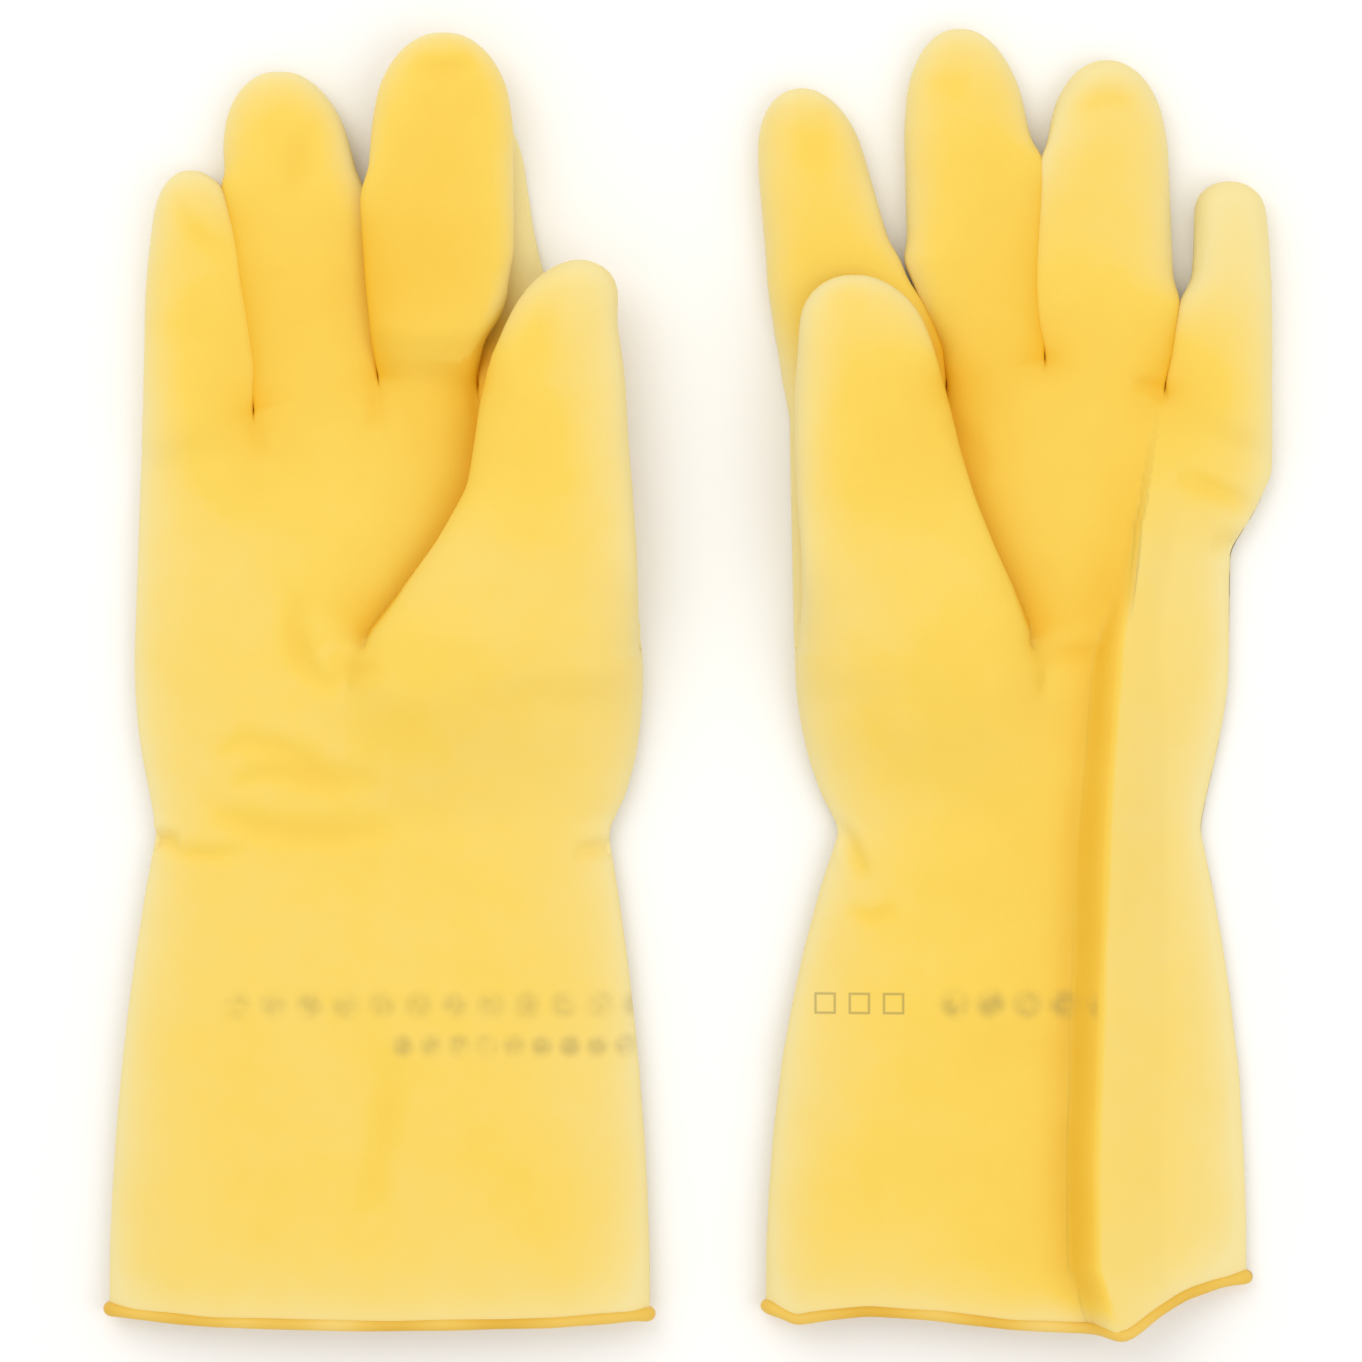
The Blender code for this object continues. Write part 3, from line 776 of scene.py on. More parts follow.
def normals_of(points, quads):
    """A normal at each point: the sum of its faces' normals, each the cross of the diagonals."""
    a, b, c, d = (points[quads[:, k]] for k in range(4))
    triangle = (quads[:, 2] == quads[:, 3])[:, None]
    face = np.where(triangle, np.cross(b - a, c - a), np.cross(c - a, d - b))
    total = np.zeros_like(points)
    for k in range(4):
        np.add.at(total, quads[:, k], face)
    return total / np.maximum(np.linalg.norm(total, axis=1, keepdims=True), NO_LENGTH)


def web_strength(glove, points):
    """How strongly each point is relaxed: round the forks, in the thumb's web and at the knuckles."""
    u, y, z = points.T
    mouth = glove["thumb"]["low"][0]
    forks = np.append(glove["knuckles"][1:4], [(mouth, glove["crotch"])], axis=0)
    away = np.linalg.norm(points[:, None, :2] - forks[None], axis=2).min(axis=1)
    fork = FORK_PULL * smooth(1.0 - away / FORK_RADIUS)
    web = smooth(1.0 - np.abs(y - glove["crotch"]) / THUMB_WEB_REACH)
    web = LINE_PULL * web * (z > THUMB_WEB_FLOOR) * (u > mouth)
    low, high = (np.interp(y, glove["rows"], glove[key]) for key in ("low", "high"))
    inside = smooth(np.minimum(u - low, high - u) / SIDE_REACH)
    line = LINE_PULL * smooth(1.0 - np.abs(y - knuckle_y(glove, u)) / KNUCKLE_REACH) * inside
    return np.maximum(np.maximum(fork, web), line)


for glove in gloves:
    points, quads, labels = weld(glove)
    points = relax(points, edges_of(quads), web_strength(glove, points), RELAX_TIMES)
    glove.update(points=points, quads=quads, labels=labels)
    print(glove["name"], "skin points and faces:", len(points), len(quads))

# %% [markdown]
# ## Creases, dents and waves
#
# A thin skin never lies quite smooth. It is pinched at the wrist, dented at the fingertips where
# air went out, and it keeps a swirl of small folds where the thumb leaves the palm. Each crease is
# a short line with a depth and a width. Its section is a bell-shaped groove with a low lip beside
# it, and it fades towards both ends. Each crease also adds painted shade to a tone that the
# material reads, deeper in colour along a groove; a crease with a tone below zero adds painted
# light.

# %% Lines over the skin
LEG_POINTS = 8


def along_line(points, line):
    """Distance from each point to a bent line, and how far along it the nearest place is, 0 to 1.

    For each leg from a to b, the place is a + t (b - a) with t = (p - a).(b - a) / |b - a|^2.
    """
    line = np.asarray(line, float)
    legs = np.linalg.norm(np.diff(line, axis=0), axis=1)
    start = np.concatenate([[0.0], np.cumsum(legs)])
    best, share = np.full(len(points), FAR), np.zeros(len(points))
    for k, (a, b) in enumerate(zip(line[:-1], line[1:])):
        t = np.clip((points - a) @ (b - a) / legs[k] ** 2, 0.0, 1.0)
        away = np.linalg.norm(points - a - t[:, None] * (b - a), axis=1)
        nearer = away < best
        best[nearer] = away[nearer]
        share[nearer] = (start[k] + t[nearer] * legs[k]) / start[-1]
    return best, share


def bend_line(line):
    """A smooth line through a few points: each leg is a Catmull-Rom cubic of LEG_POINTS points.

    Between b and c it is half of 2 b + (c - a) t + (2 a - 5 b + 4 c - d) t^2
    + (3 b - a - 3 c + d) t^3, where a and d are the points before and after them.
    """
    p = np.asarray(line, float)
    p = np.concatenate([[2.0 * p[0] - p[1]], p, [2.0 * p[-1] - p[-2]]])
    t = np.linspace(0.0, 1.0, LEG_POINTS, endpoint=False)[:, None]
    legs = [
        0.5 * (2.0 * b + (c - a) * t + (2.0 * a - 5.0 * b + 4.0 * c - d) * t ** 2
               + (3.0 * b - a - 3.0 * c + d) * t ** 3)
        for a, b, c, d in zip(p, p[1:], p[2:], p[3:])
    ]
    return np.concatenate(legs + [p[-2:-1]])


# %% Creases
# A crease is (line, depth, width, tone), in mm across and along from the middle of the wrist. A
# depth below zero is a ridge. The tone is painted shade along a groove, and painted light where it
# is below zero.
CREASES = {
    "right": (
        (((-19, 56), (-20.2, 50), (-19, 43), (-15.5, 37.4), (-9, 33.4)), 0.8, 2.2, 0.3),
        (((-15, 43), (-12.6, 39), (-10.5, 36.5)), -0.7, 3.6, -0.1),
        (((-11, 42.5), (-8.6, 39.4), (-4.6, 38.2), (0.6, 39.6)), 0.6, 1.9, 0.24),
        (((-58.5, -3), (-52, -1.6), (-47.5, -2.4)), 1.6, 1.6, 0.3),
        (((-56, -3.4), (-43.4, -5.2), (-31, -4.4)), 0.7, 1.8, 0.18),
        (((58, -4.2), (51.2, -3.8), (45, -5)), 1.4, 1.7, 0.2),
        (((-41, 17), (-33, 20.6), (-24, 19.4), (-12, 13.4), (0, 11.6)), 0.7, 2.5, 0.24),
        (((-36, 11), (-27, 13.6), (-18.6, 12.6), (-8.3, 9.2)), 0.6, 2, 0.2),
        (((-42, 9), (-36, 3.6), (-24, 0.4), (-10, -0.4), (4, 1.4)), 0.7, 2.6, 0.24),
        (((-9, 24), (4, 22.5), (16, 25)), 0.4, 5, 0.12),
        (((7, 181), (15, 178.6), (23.2, 181.4)), 0.5, 1.8, 0.22),
        (((-26, 169), (-22, 160.8), (-17, 152)), 0.4, 3.2, 0.08),
        (((-13, 168), (-17.6, 161), (-18.8, 150)), 0.4, 2.4, 0.12),
        (((-49.8, 152), (-46, 144), (-40, 138), (-33.5, 137)), 0.4, 1.8, 0.16),
        (((3, -50), (1.2, -63.8), (-0.6, -76), (-3.4, -90)), 0.5, 2.6, 0.2),
        (((48, 132), (44.6, 122.9), (42.6, 112), (41.7, 99)), -0.5, 3.2, -0.12),
        (((35, 126), (38, 118), (36.5, 108)), 0.4, 4, 0.14),
        (((-1, 104), (-1, 99), (-1.5, 93)), 0.5, 1.8, 0.2),
        (((-29.6, 96.5), (-28.6, 91), (-28, 86)), 0.5, 1.8, 0.2),
    ),
    "left": (
        (((-2, 42.3), (-10.9, 41.6), (-19, 42.8)), 0.6, 1.9, 0.26),
        (((-36, 83.4), (-46.4, 79.4), (-57, 74)), 0.9, 2, 0.22),
        (((-60, 70), (-51, 67.2), (-45, 68)), 1.2, 2.2, 0.2),
        (((44, 2), (40, -3), (36.6, -12)), 1, 1.6, 0.26),
        (((41.5, -18.2), (35.2, -20.1), (29, -17.8)), 0.5, 1.5, 0.24),
        (((-25, 104.5), (-31, 103.8), (-34, 100)), 0.6, 1.5, 0.28),
        (((52, 168), (49.4, 161), (44.7, 154)), 0.4, 2.6, 0.16),
        (((46.5, 171), (45, 165), (46, 160)), 0.3, 2, 0.12),
        (((-12, 169), (-20.4, 172.2), (-28.6, 170.6)), 0.5, 1.8, 0.24),
        (((46, 123.4), (41.1, 125), (36, 123.4)), 0.4, 2.4, 0.14),
        (((23, 173.6), (17.5, 175.2), (12, 173.6)), 0.4, 2.2, 0.12),
        (((18, 96), (12, 90), (9, 82)), 0.4, 2.6, 0.12),
        (((39, 30), (33, 20), (30, 8)), 0.4, 4, 0.08),
    ),
}
LIP = 0.28
LIP_AWAY = 2.1
TONE_WIDTH = 1.5
END_POWER = 0.6


def press(points, up, creases):
    """How far each point sinks under the creases, and how much painted shade they add to its tone.

    The groove is exp(-(away / width)^2), less LIP times the same bell LIP_AWAY widths out.
    """
    sink, tone = np.zeros(len(points)), np.zeros(len(points))
    for line, depth, width, colour in creases:
        away, share = along_line(points[:, :2] / MM, bend_line(line))
        ends = np.sin(np.pi * np.clip(share, 0.0, 1.0)) ** END_POWER
        lip = LIP * np.exp(-((away - LIP_AWAY * width) / width) ** 2)
        sink += depth * MM * (np.exp(-(away / width) ** 2) - lip) * ends * up
        # Each crease's colour here is painted shade along it, and painted light where it is below
        # zero.
        tone += colour * np.exp(-(away / (TONE_WIDTH * width)) ** 2) * ends * up
    return sink, tone


# %% Slow waves
WAVE_COUNT = 9
# Each wave's length and height, and its seed for the right and the left glove.
WAVES = ((34.0 * MM, 0.34 * MM, (11, 51)), (14.0 * MM, 0.10 * MM, (12, 52)))


def waves(points, length, seed):
    """A smooth random surface: the mean of plane waves about length apart, in seeded directions."""
    draw = np.random.default_rng(seed)
    angle = draw.uniform(0.0, 2.0 * np.pi, WAVE_COUNT)
    phase = draw.uniform(0.0, 2.0 * np.pi, WAVE_COUNT)
    rate = 2.0 * np.pi / (length * draw.uniform(0.7, 1.4, WAVE_COUNT))
    turn = points[:, :1] * np.cos(angle) + points[:, 1:2] * np.sin(angle)
    return np.sin(turn * rate + phase).mean(axis=1) * np.sqrt(2.0 * WAVE_COUNT) / 2.0


# %% Press them in
UP_START = 0.15
UP_RUN = 0.5


def shape_skin(glove):
    """Presses the creases and the waves into the skin where it faces up, and gives it normals."""
    points, quads = glove["points"], glove["quads"]
    normal = normals_of(points, quads)
    up = smooth((normal[:, 2] - UP_START) / UP_RUN)
    place = points - np.array([glove["centre"], glove["wrist"], 0.0])
    sink, glove["crease_tone"] = press(place, up, CREASES[glove["name"]])
    for length, height, seeds in WAVES:
        sink += height * up * waves(points, length, seeds[glove["side"] < 0])
    glove["smooth_points"] = points
    points = points - normal * sink[:, None]
    points[:, 2] = np.maximum(points[:, 2], 0.0)
    glove["points"], glove["normals"] = points, normals_of(points, quads)
    print(glove["name"], "deepest crease in mm:", round(sink.max() / MM, 2))


for glove in gloves:
    shape_skin(glove)

# %% [markdown]
# ## Where the skin looks deeper or paler
#
# Light goes through the film, so how much latex it met shows in its colour, and that is painted in
# here as light and shade. A free edge stands alone over the white board and gets a painted glow, so
# it looks pale. A finger that lies on another, a crease, the palm beside the thumb and the steep side
# of the fold get painted shade and look deep. Each point gets one number for that, its tone.

# %% Free and covered sides
BODY_TONE = 0.36
# How much deeper or paler each finger is drawn as a whole. The right index lies in shade under the
# middle finger, and its tone below zero is painted light that lifts it.
STALL_TONES = {
    "right": {"little": 0.10, "ring": 0.16, "middle": 0.24, "index": -0.20, "thumb": 0.0},
    "left": {"little": -0.04, "ring": 0.04, "middle": 0.14, "index": 0.14, "thumb": 0.02},
}
# A finger's own tones grow in over the first run from its mouth. The next two say how far below its
# tip, and how strongly, the thumb's inner side gets the painted glow of a free edge. Then come the
# painted glow inside a free edge, as runs and amounts, and round a tip, and the painted shade in a
# side that a neighbour covers, how much and over what run.
STALL_RUN = 26.0 * MM
THUMB_FREE = 26.0 * MM
THUMB_FREE_SHARE = 0.7
EDGE_GLOW_RUNS = ((9.0 * MM, 0.24), (2.6 * MM, 0.22))
TIP_GLOW = 0.5
DEEP = 0.36
DEEP_RUN = 3.4 * MM


def pale(inside):
    """How much paler the painted glow makes the skin, at a distance inside a free edge: a sum of dying
    exponentials.
    """
    return sum(amount * np.exp(-np.maximum(inside, 0.0) / run) for run, amount in EDGE_GLOW_RUNS)


def painted_edge_glow_and_shade(glove, points):
    """Painted glow towards free sides, and painted shade in each finger's side that its neighbour
    covers.
    """
    u, y = points[:, 0], points[:, 1]
    low, high = (np.interp(y, glove["rows"], glove[key]) for key in ("low", "high"))
    tone = -pale(u - low) - pale(high - u)
    for stall in (*STALLS, "thumb"):
        mine = np.unique(glove["quads"][glove["labels"] == stall])
        shape, (u, y) = glove[stall], points[mine, :2].T
        mouth = glove["crotch"] if stall == "thumb" else knuckle_y(glove, u)
        grown = smooth((y - mouth) / STALL_RUN)
        sides = [np.interp(y, shape["y"], shape[key]) for key in ("low", "high")]
        free = [grown * np.interp(y, shape["y"], shape[f"free_{key}"]) for key in ("low", "high")]
        free[0] = 1.0 if stall == "little" else free[0]
        if stall == "thumb":
            above = y - shape["tip"] + THUMB_FREE
            free[0] = THUMB_FREE_SHARE * smooth(above / (THUMB_FREE_SHARE * THUMB_FREE))
        free[1] = 1.0 if stall in ("index", "thumb") else free[1]
        value = -free[0] * pale(u - sides[0]) - free[1] * pale(sides[1] - u)
        value -= TIP_GLOW * pale(shape["tip"] - y) * grown
        covered = np.interp(y, shape["y"], shape["touch_low"])
        value += DEEP * covered * np.exp(-np.maximum(u - sides[0], 0.0) / DEEP_RUN)
        tone[mine] = value + STALL_TONES[glove["name"]][stall] * grown
    return tone


# %% The palm, the thumb's shade and the fold
# How much deeper the palm is drawn along the knuckles, over what run and how far inside its sides; the
# painted shade round the crotches; and the painted glow above the rim.
PALM_DEEP, PALM_RUN, PALM_INSIDE = 0.12, 24.0 * MM, 14.0 * MM
CROTCH_SHADE, CROTCH_RUN = 0.36, 4.0 * MM
RIM_GLOW, RIM_RUN = 0.30, 6.0 * MM
# Beside the thumb lie a narrow band of shade and a wide one: how deep, how wide, and its power.
THUMB_BANDS = ((0.40, 4.2 * MM, 1.2), (0.14, 17.0 * MM, 2.0))
THUMB_ROWS = 30
THUMB_TIP_GAP = 9.0 * MM
THUMB_ABOVE = 2.5 * MM
THUMB_COVER = 0.6 * MM
# Shares of the thumb's length over which its shade comes in, where it ends, and where it goes out.
THUMB_IN, THUMB_END, THUMB_OUT = 0.08, 1.02, 0.25
# Beyond the fold's line lie a deep band of painted shade and a wide one. The deep one is full up to
# the first distance and fades over the second.
FOLD_DEEP, FOLD_BAND = 0.22, (3.0 * MM, 13.0 * MM)
FOLD_WIDE, FOLD_WIDE_RUN = 0.10, 40.0 * MM
# Painted light on the outer slope of the fold, and how softly the painted shade comes in at its line.
FOLD_OUTER_LIGHT = 0.06
FOLD_EDGE = 1.2 * MM
# The stage where the fold's shade starts, and how much of a stage it comes in and goes out over.
FOLD_START, FOLD_IN, FOLD_OUT = -0.02, 0.10, 0.9


def palm_painted_shade_and_glow(glove, points):
    """Painted shade round the crotches, deeper along the knuckles, and a painted glow at the rim."""
    u, y = points[:, 0], points[:, 1]
    low, high = (np.interp(y, glove["rows"], glove[key]) for key in ("low", "high"))
    inside = smooth(np.minimum(u - low, high - u) / PALM_INSIDE)
    tone = PALM_DEEP * inside * np.exp(-((y - knuckle_y(glove, u)) / PALM_RUN) ** 2)
    crotches = glove["knuckles"][None, 1:4]
    away = np.linalg.norm(points[:, None, :2] - crotches, axis=2).min(axis=1)
    tone += CROTCH_SHADE * np.exp(-away / CROTCH_RUN)
    rim = y - glove["rim"] - rim_rise(glove, u)
    return tone - RIM_GLOW * np.exp(-np.maximum(rim, 0.0) / RIM_RUN)


def thumb_shade(glove, points):
    """Painted shade on the palm beside the thumb's inner side, where the thumb lies over it."""
    shape = glove["thumb"]
    rows = np.linspace(glove["crotch"], shape["tip"] - THUMB_TIP_GAP, THUMB_ROWS)
    line = np.stack([np.interp(rows, shape["y"], shape["low"]), rows], axis=1)
    away, share = along_line(points[:, :2], line)
    inner = points[:, 0] < np.interp(points[:, 1], rows, line[:, 0]) + THUMB_COVER
    low = points[:, 2] < PALM_TOP + THUMB_ABOVE
    band = sum(deep * np.exp(-(away / run) ** power) for deep, run, power in THUMB_BANDS)
    ends = smooth(share / THUMB_IN) * smooth((THUMB_END - share) / THUMB_OUT)
    return band * inner * low * ends


def fold_shade(glove, points):
    """Painted shade on the steep side of the fold and in the valley at its foot, painted light on the
    other side.
    """
    if glove["name"] != FOLDED:
        return 0.0
    ends = (glove["rim"], glove["wrist"], glove["crotch"], glove["knuckles"][:, 1].max())
    stage = np.interp(points[:, 1], ends, (0.0, 1.0, 2.0, 3.0))
    beyond = points[:, 0] - fold_line(glove, stage)
    steep = smooth((beyond + FOLD_EDGE) / (2.0 * FOLD_EDGE))
    band = steep * (1.0 - smooth((beyond - FOLD_BAND[0]) / FOLD_BAND[1]))
    wide = steep * np.exp(-(beyond / FOLD_WIDE_RUN) ** 2)
    outer = smooth((MM - beyond) / (2.0 * MM))
    along = smooth((3.0 - stage) / FOLD_OUT) * smooth((stage - FOLD_START) / FOLD_IN)
    return (FOLD_DEEP * band + FOLD_WIDE * wide - FOLD_OUTER_LIGHT * outer) * along


# %% The tone of each point
# A tone is the body's own depth of colour, with painted light and shade added: the creases' painted
# shading, the thumb's painted shade, the fold's painted shade and light, the painted glow and shade of
# the sides and the palm, and a slow cloud that varies at random.
CREASE_SHARE = 0.5
CLOUD_TONE, CLOUD_LENGTH, CLOUD_SEED = 0.025, 46.0 * MM, 71

for glove in gloves:
    points = glove["points"]
    tone = BODY_TONE + CREASE_SHARE * glove["crease_tone"] + thumb_shade(glove, glove["smooth_points"])
    tone += fold_shade(glove, points) + painted_edge_glow_and_shade(glove, points) + palm_painted_shade_and_glow(glove, points)
    tone += CLOUD_TONE * waves(points, CLOUD_LENGTH, CLOUD_SEED)
    glove["tone"] = np.clip(tone, 0.0, 1.0)
    print(glove["name"], "tone from", tone.min().round(2), "to", tone.max().round(2))

# %% [markdown]
# ## Latex
#
# Natural rubber latex is a yellowish milk that dries to a clear, stretchy film; the colour is a
# pigment stirred in. A thin film of it is satin, not glossy, slightly cloudy, and lets some light
# through: it is pale where one layer stands over white, and deep yellow where layers touch. That
# light and shade are painted here, by the tone that each point carries, through a ramp of four
# yellows from a painted glow to painted shade. The fine grain comes from the gelled surface of the
# latex. It is about 0.2 mm, drawn at 0.5 mm so that it shows.

# %% Printed marks
INK = "6f6a4c"
# Rows of marks: glove, where the row starts and ends across, and where it lies along, in mm from
# the middle of the wrist, its pitch, how soft its marks are and how strong. The soft marks are
# printed on the far layer of the cuff and show through.
MARKS = (
    ("right", (-38.0, 62.0), -40.4, 8.5, 0.56, 0.28),
    ("right", (2.0, 60.0), -50.0, 6.5, 0.62, 0.36),
    ("left", (26.0, 50.0), -40.6, 8.0, 0.035, 0.50),
    ("left", (-17.0, 20.0), -40.6, 8.5, 0.60, 0.40),
)
SOFT = 0.1
OUTLINE = 0.28
INK_UNEVEN = 5.0 * MM
INK_UNEVEN_RANGE = (0.15, 0.75)
# Ink only lies on the upper side of a cuff: none below the first height, all above the second.
INK_FLOOR = (2.0 * MM, 4.0 * MM)
# A mark is full up to the first share of its softness, and gone at the second and a little more.
INK_FULL, INK_GONE, INK_MORE = 0.2, 0.9, 0.03


def mark_row(tree, place, uneven, name, span, along, pitch, soft, strength):
    """How much ink one row of marks puts on, measured in pitches from the middle of each mark.

    An outline lies where max(|x|, |y|) is near OUTLINE, and a smudge where the root of
    x^2 + y^2 is small. Each limit then says between which two values the ink comes in.
    """
    glove = next(glove for glove in gloves if glove["name"] == name)
    start, end = sorted(glove["side"] * (glove["centre"] + across * MM) for across in span)
    size, line = pitch * MM, glove["wrist"] + along * MM
    local = add_node(tree, "ShaderNodeMapping", Vector=place, Scale=(1.0 / size, 1.0 / size, 0.0),
                     Location=(-start / size - 0.5, -line / size, 0.0))
    local = add_node(tree, "ShaderNodeVectorMath", {"operation": "WRAP"}, _0=local.outputs[0],
                     _1=(0.5, FAR, FAR), _2=(-0.5, -FAR, -FAR))
    if soft > SOFT:
        away = add_node(tree, "ShaderNodeVectorMath", {"operation": "LENGTH"},
                        _0=local.outputs[0]).outputs["Value"]
    else:
        local = add_node(tree, "ShaderNodeVectorMath", {"operation": "ABSOLUTE"},
                         _0=local.outputs[0])
        axis = add_node(tree, "ShaderNodeSeparateXYZ", Vector=local.outputs[0]).outputs
        away = add_node(tree, "ShaderNodeMath", {"operation": "MAXIMUM"}, _0=axis[0], _1=axis[1])
        away = add_node(tree, "ShaderNodeMath", {"operation": "SUBTRACT"}, _0=away.outputs[0],
                        _1=OUTLINE)
        away = add_node(tree, "ShaderNodeMath", {"operation": "ABSOLUTE"},
                        _0=away.outputs[0]).outputs[0]
    across, _, height = add_node(tree, "ShaderNodeSeparateXYZ", Vector=place).outputs
    limits = [
        (away, INK_GONE * soft + INK_MORE, INK_FULL * soft), (height, *INK_FLOOR),
        (across, start - MM, start + MM), (across, end + MM, end - MM),
    ]
    if soft > SOFT:
        limits.append((uneven, *INK_UNEVEN_RANGE))
    ink = strength
    for value, none, full in limits:
        share = add_node(tree, "ShaderNodeMapRange", {"interpolation_type": "SMOOTHSTEP"},
                         Value=value, From_Min=none, From_Max=full)
        ink = add_node(tree, "ShaderNodeMath", {"operation": "MULTIPLY"}, _0=ink,
                       _1=share.outputs[0]).outputs[0]
    return ink


def ink_on(tree, place, colour):
    """Rows of plain marks over a colour: small square outlines and soft smudges."""
    uneven = add_node(tree, "ShaderNodeTexNoise", Vector=place, Scale=1.0 / INK_UNEVEN,
                      Detail=2.0).outputs["Fac"]
    total = 0.0
    for row in MARKS:
        total = add_node(tree, "ShaderNodeMath", {"operation": "ADD"}, _0=total,
                         _1=mark_row(tree, place, uneven, *row)).outputs[0]
    mix = add_node(tree, "ShaderNodeMix", {"data_type": "RGBA"}, _0=total, _6=colour,
                   _7=linear(INK))
    return mix.outputs[2]


# %% The latex film
# The cloudy mottle and the fine grain: the size of each, its detail and its roughness.
CLOUDS = ((9.0 * MM, 3.0, 0.5), (0.5 * MM, 2.0, 0.6))
CLOUD_SPREAD = 0.02
NOISE_LOW, NOISE_HIGH = 0.3, 0.7
GRAIN_HEIGHT = 0.03 * MM


def latex(name, colours, roughness):
    """Dipped natural rubber: satin, with a fine gelled grain and cloudy colour."""
    material, tree = new_material(name)
    place = add_node(tree, "ShaderNodeAttribute", {"attribute_name": "place"}).outputs["Vector"]
    tone = add_node(tree, "ShaderNodeAttribute", {"attribute_name": "tone"}).outputs["Fac"]
    for size, detail, fineness in CLOUDS:
        grain = add_node(tree, "ShaderNodeTexNoise", Vector=place, Scale=1.0 / size,
                         Detail=detail, Roughness=fineness).outputs["Fac"]
        spread = add_node(tree, "ShaderNodeMapRange", Value=grain, From_Min=NOISE_LOW,
                          From_Max=NOISE_HIGH, To_Min=-CLOUD_SPREAD, To_Max=CLOUD_SPREAD)
        tone = add_node(tree, "ShaderNodeMath", {"operation": "ADD"}, _0=tone,
                        _1=spread.outputs[0]).outputs[0]
    ramp = add_node(tree, "ShaderNodeValToRGB", Fac=tone)
    stops = ramp.color_ramp.elements
    while len(stops) < len(colours):
        stops.new(0.5)
    for stop, (position, code) in zip(stops, colours):
        stop.position, stop.color = position, linear(code)
    bump = add_node(tree, "ShaderNodeBump", Height=grain, Distance=GRAIN_HEIGHT, Strength=0.5)
    colour = ink_on(tree, place, ramp.outputs["Color"])
    shader = add_node(tree, "ShaderNodeBsdfPrincipled", Base_Color=colour, Roughness=roughness,
                      IOR=1.52, Specular_IOR_Level=0.2, Normal=bump.outputs["Normal"])
    add_node(tree, "ShaderNodeOutputMaterial", Surface=shader.outputs[0])
    return material


# Each material's ramp of tones. The film's runs from the painted glow of one layer over white to the
# painted shade where layers touch; the bead's follows its own uneven tone.
FILM_COLOURS = ((0.0, "e8d796"), (0.40, "ecc953"), (0.72, "e8b836"), (1.0, "e8af1e"))
film_latex = latex("dipped_latex_film", FILM_COLOURS, 0.46)
BEAD_COLOURS = ((0.0, "ecd07c"), (0.40, "e2ba50"), (0.72, "d9aa38"), (1.0, "cc9624"))
bead_latex = latex("rolled_latex_bead", BEAD_COLOURS, 0.40)
print("materials:", [material.name for material in bpy.data.materials])

# %% [markdown]
# ## Cutting the skin into pieces
#
# The skin gets its thickness by a second surface, a film's depth along the normals. Each piece
# keeps the normals that the whole skin had, so that no line shows where two pieces meet.

# %% Pieces of film
FILM = 0.5 * MM


def film_piece(glove, piece, name):
    """One piece of a glove: its outer faces, the same a film deeper, and its open ends closed."""
    quads = glove["quads"][glove["labels"] == piece]
    used, quads = np.unique(quads, return_inverse=True)
    quads = quads.reshape(-1, 4)
    outer, normal, count = glove["points"][used], glove["normals"][used], len(used)
    sides = edges_of(quads)
    key = np.sort(sides, axis=1) @ np.array([count, 1])
    _, first, times = np.unique(key, return_index=True, return_counts=True)
    open_sides = sides[first[times == 1]]
    a, b = open_sides[:, 0], open_sides[:, 1]
    ends = np.stack([b, a, a + count, b + count], axis=1)
    inner = quads[:, (0, 3, 2, 1)] + count
    faces = np.concatenate([quads, inner, ends])
    points = np.concatenate([outer, outer - normal * FILM])
    normals = np.concatenate([normal, -normal])
    tone = np.tile(glove["tone"][used], 2)
    if glove["side"] < 0:
        faces = faces[:, ::-1]
        points, normals = points * (-1, 1, 1), normals * (-1, 1, 1)
    return add_mesh(name, points, faces, normals, tone, film_latex)


def add_mesh(name, points, faces, normals, tone, material):
    """A mesh object from arrays. A face whose last two corners are the same is a triangle.

    Each point keeps its tone, which on the film is painted light and shade, and the place it was made
    at, so that patterns bend with the skin.
    """
    faces = [tuple(dict.fromkeys(face)) for face in faces.tolist()]
    mesh = bpy.data.meshes.new(name)
    mesh.from_pydata(points.tolist(), [], faces)
    mesh.attributes.new("tone", "FLOAT", "POINT").data.foreach_set("value", tone.astype(np.float32))
    flat = np.ascontiguousarray(points, dtype=np.float32).ravel()
    mesh.attributes.new("place", "FLOAT_VECTOR", "POINT").data.foreach_set("vector", flat)
    mesh.materials.append(material)
    mesh.shade_smooth()
    if normals is not None:
        mesh.normals_split_custom_set_from_vertices(normals.tolist())
    piece = bpy.data.objects.new(name, mesh)
    bpy.context.scene.collection.objects.link(piece)
    return piece


for glove in gloves:
    name = glove["name"]
    hand = film_piece(glove, "hand", f"{name}_hand_film")
    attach(hand, f"{name}_hand")
    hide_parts(f"{name}_heel", f"{name}_palm")
    cuff = film_piece(glove, "cuff", f"{name}_cuff_film")
    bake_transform(cuff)
    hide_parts(f"{name}_cuff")
    for stall in (*STALLS, "thumb"):
        film = film_piece(glove, stall, f"{name}_{stall}_film")
        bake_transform(film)
        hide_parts(f"{name}_{stall}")
    print(name, "pieces: hand and cuff, and", (*STALLS, "thumb"))

# %% [markdown]
# ## The rolled bead
#
# When the dipped glove is still tacky, brushes roll its edge down on itself. That leaves a cord of
# latex round the mouth, denser and deeper in colour than the film, and never quite even.

# %% Bead
BEAD_SIDES = 14
BEAD_SMOOTHINGS = 3
BEAD_UNEVEN = 0.09
BEAD_WAVES = ((5.0, 1.0), (11.0, 0.0), (17.0, 2.0))
BEAD_TONE, BEAD_TONE_SPREAD, BEAD_TONE_LENGTH, BEAD_SEED = 0.45, 0.2, 25.0 * MM, 5
KNOB = 0.3
KNOB_RUN = 2.2 * MM


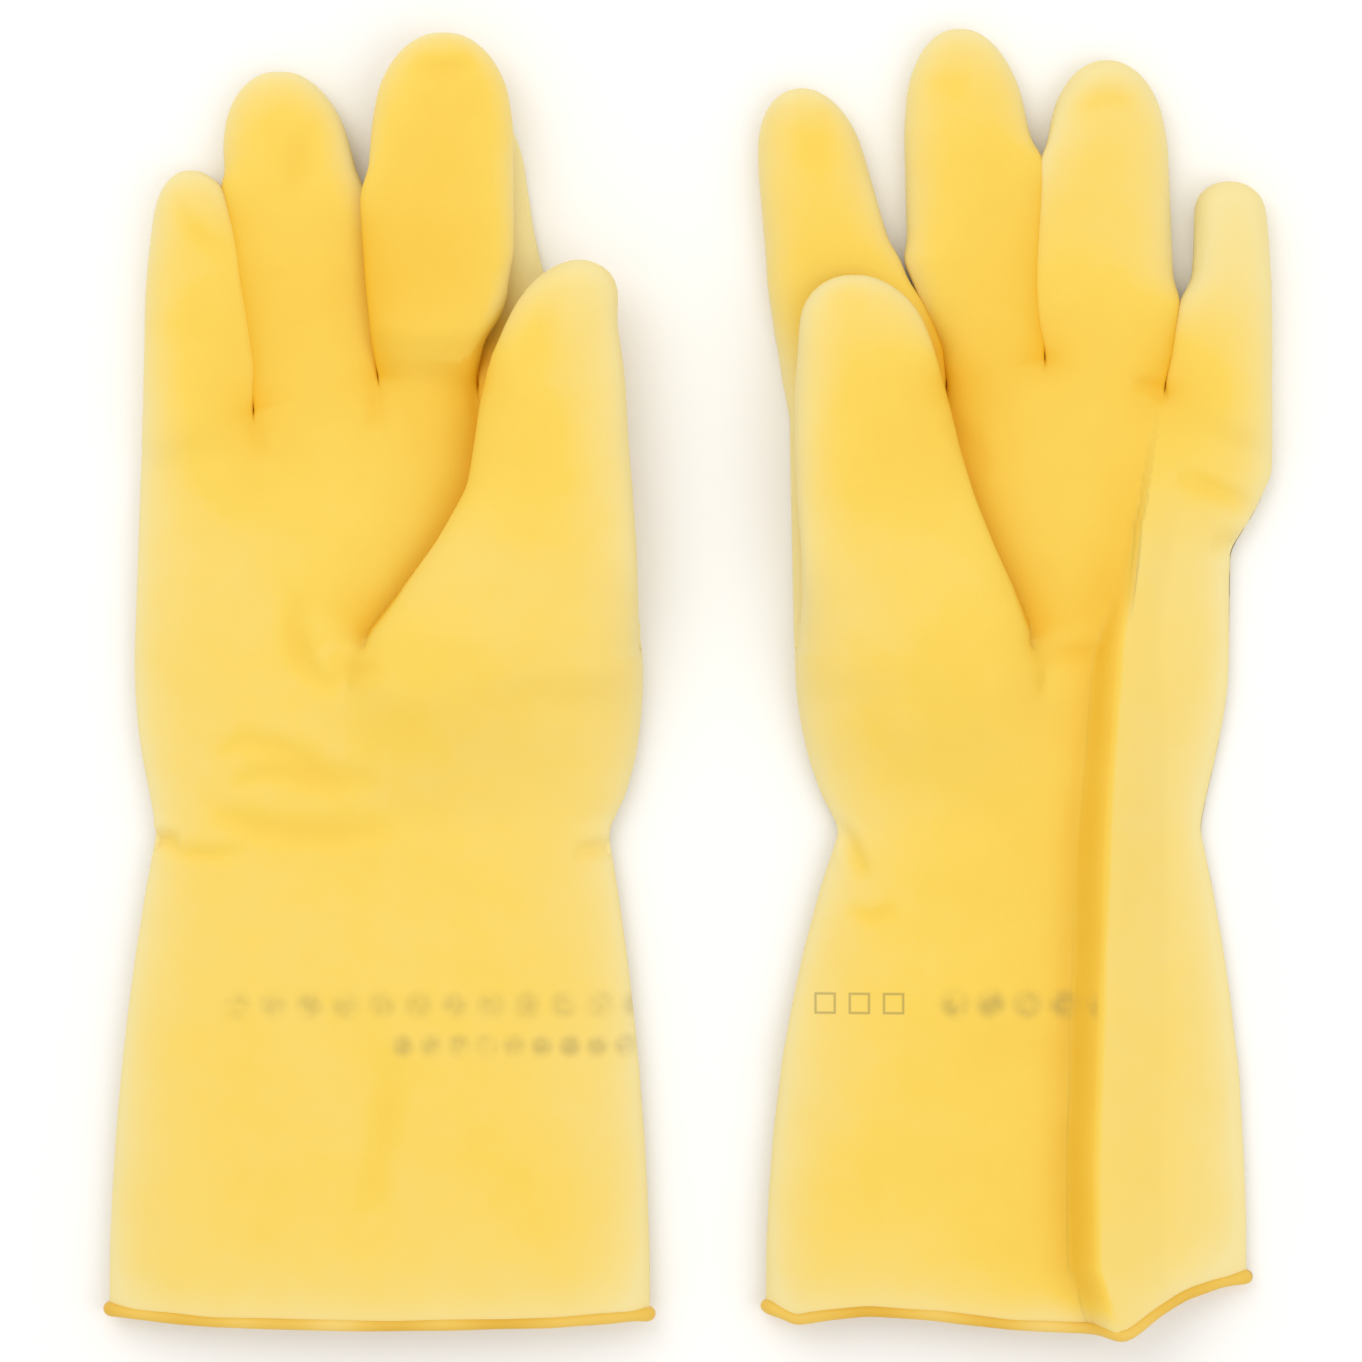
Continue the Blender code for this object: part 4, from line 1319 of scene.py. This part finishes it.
def bead_points(path, radius):
    """A round section carried along a closed path: path + r (cos a side + sin a out).

    side is the hand's own direction, +y, made square to the path; out is square to both.
    """
    ahead = np.roll(path, -1, axis=0) - np.roll(path, 1, axis=0)
    ahead /= np.linalg.norm(ahead, axis=1, keepdims=True)
    side = np.array([0.0, 1.0, 0.0]) - ahead * ahead[:, 1:2]
    side /= np.linalg.norm(side, axis=1, keepdims=True)
    out = np.cross(ahead, side)
    angle = 2.0 * np.pi * np.arange(BEAD_SIDES) / BEAD_SIDES
    ring = np.cos(angle)[:, None] * side[:, None] + np.sin(angle)[:, None] * out[:, None]
    return path[:, None] + radius[:, None, None] * ring


def bead_path(glove):
    """The middle of the film round its rim, smoothed and kept a radius above the table."""
    loop = glove["grids"][0][1][0]
    nearest = [np.argmin(np.linalg.norm(glove["points"] - place, axis=1)) for place in loop]
    path = glove["points"][nearest] - glove["normals"][nearest] * FILM / 2.0
    path[:, 1] = glove["points"][nearest][:, 1]
    path[:, 2] = np.maximum(path[:, 2], BEAD / 2.0)
    for _ in range(BEAD_SMOOTHINGS):
        path = (np.roll(path, 1, axis=0) + 2.0 * path + np.roll(path, -1, axis=0)) / 4.0
    return path


def bead(glove):
    """The bead of one glove: a round section along its path, uneven, thicker where it turns."""
    name, path = glove["name"], bead_path(glove)
    run = np.arange(len(path)) * 2.0 * np.pi / len(path)
    waver = sum(np.sin(rate * run + start) for rate, start in BEAD_WAVES) / len(BEAD_WAVES)
    uneven = 1.0 + BEAD_UNEVEN * waver
    for end in (path[:, 0].min(), path[:, 0].max()):
        uneven += KNOB * np.exp(-((path[:, 0] - end) / KNOB_RUN) ** 2)
    ring = bead_points(path, BEAD / 2.0 * uneven)
    rows, columns = ring.shape[:2]
    a = np.arange(rows)[:, None] * columns + np.arange(columns)
    b = np.roll(a, -1, axis=1)
    faces = np.stack([a, b, np.roll(b, -1, axis=0), np.roll(a, -1, axis=0)], axis=-1)
    faces, points = faces.reshape(-1, 4), ring.reshape(-1, 3)
    points[:, 2] = np.maximum(points[:, 2], 0.0)
    tone = BEAD_TONE + BEAD_TONE_SPREAD * waves(points, BEAD_TONE_LENGTH, BEAD_SEED)
    if glove["side"] < 0:
        faces, points = faces[:, ::-1], points * (-1, 1, 1)
    piece = add_mesh(f"{name}_rolled_bead", points, faces, None, tone, bead_latex)
    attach(piece, f"{name}_cuff")
    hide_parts(f"{name}_cuff_bead")
    return piece


for glove in gloves:
    piece = bead(glove)
    print(piece.name, "faces:", len(piece.data.polygons))
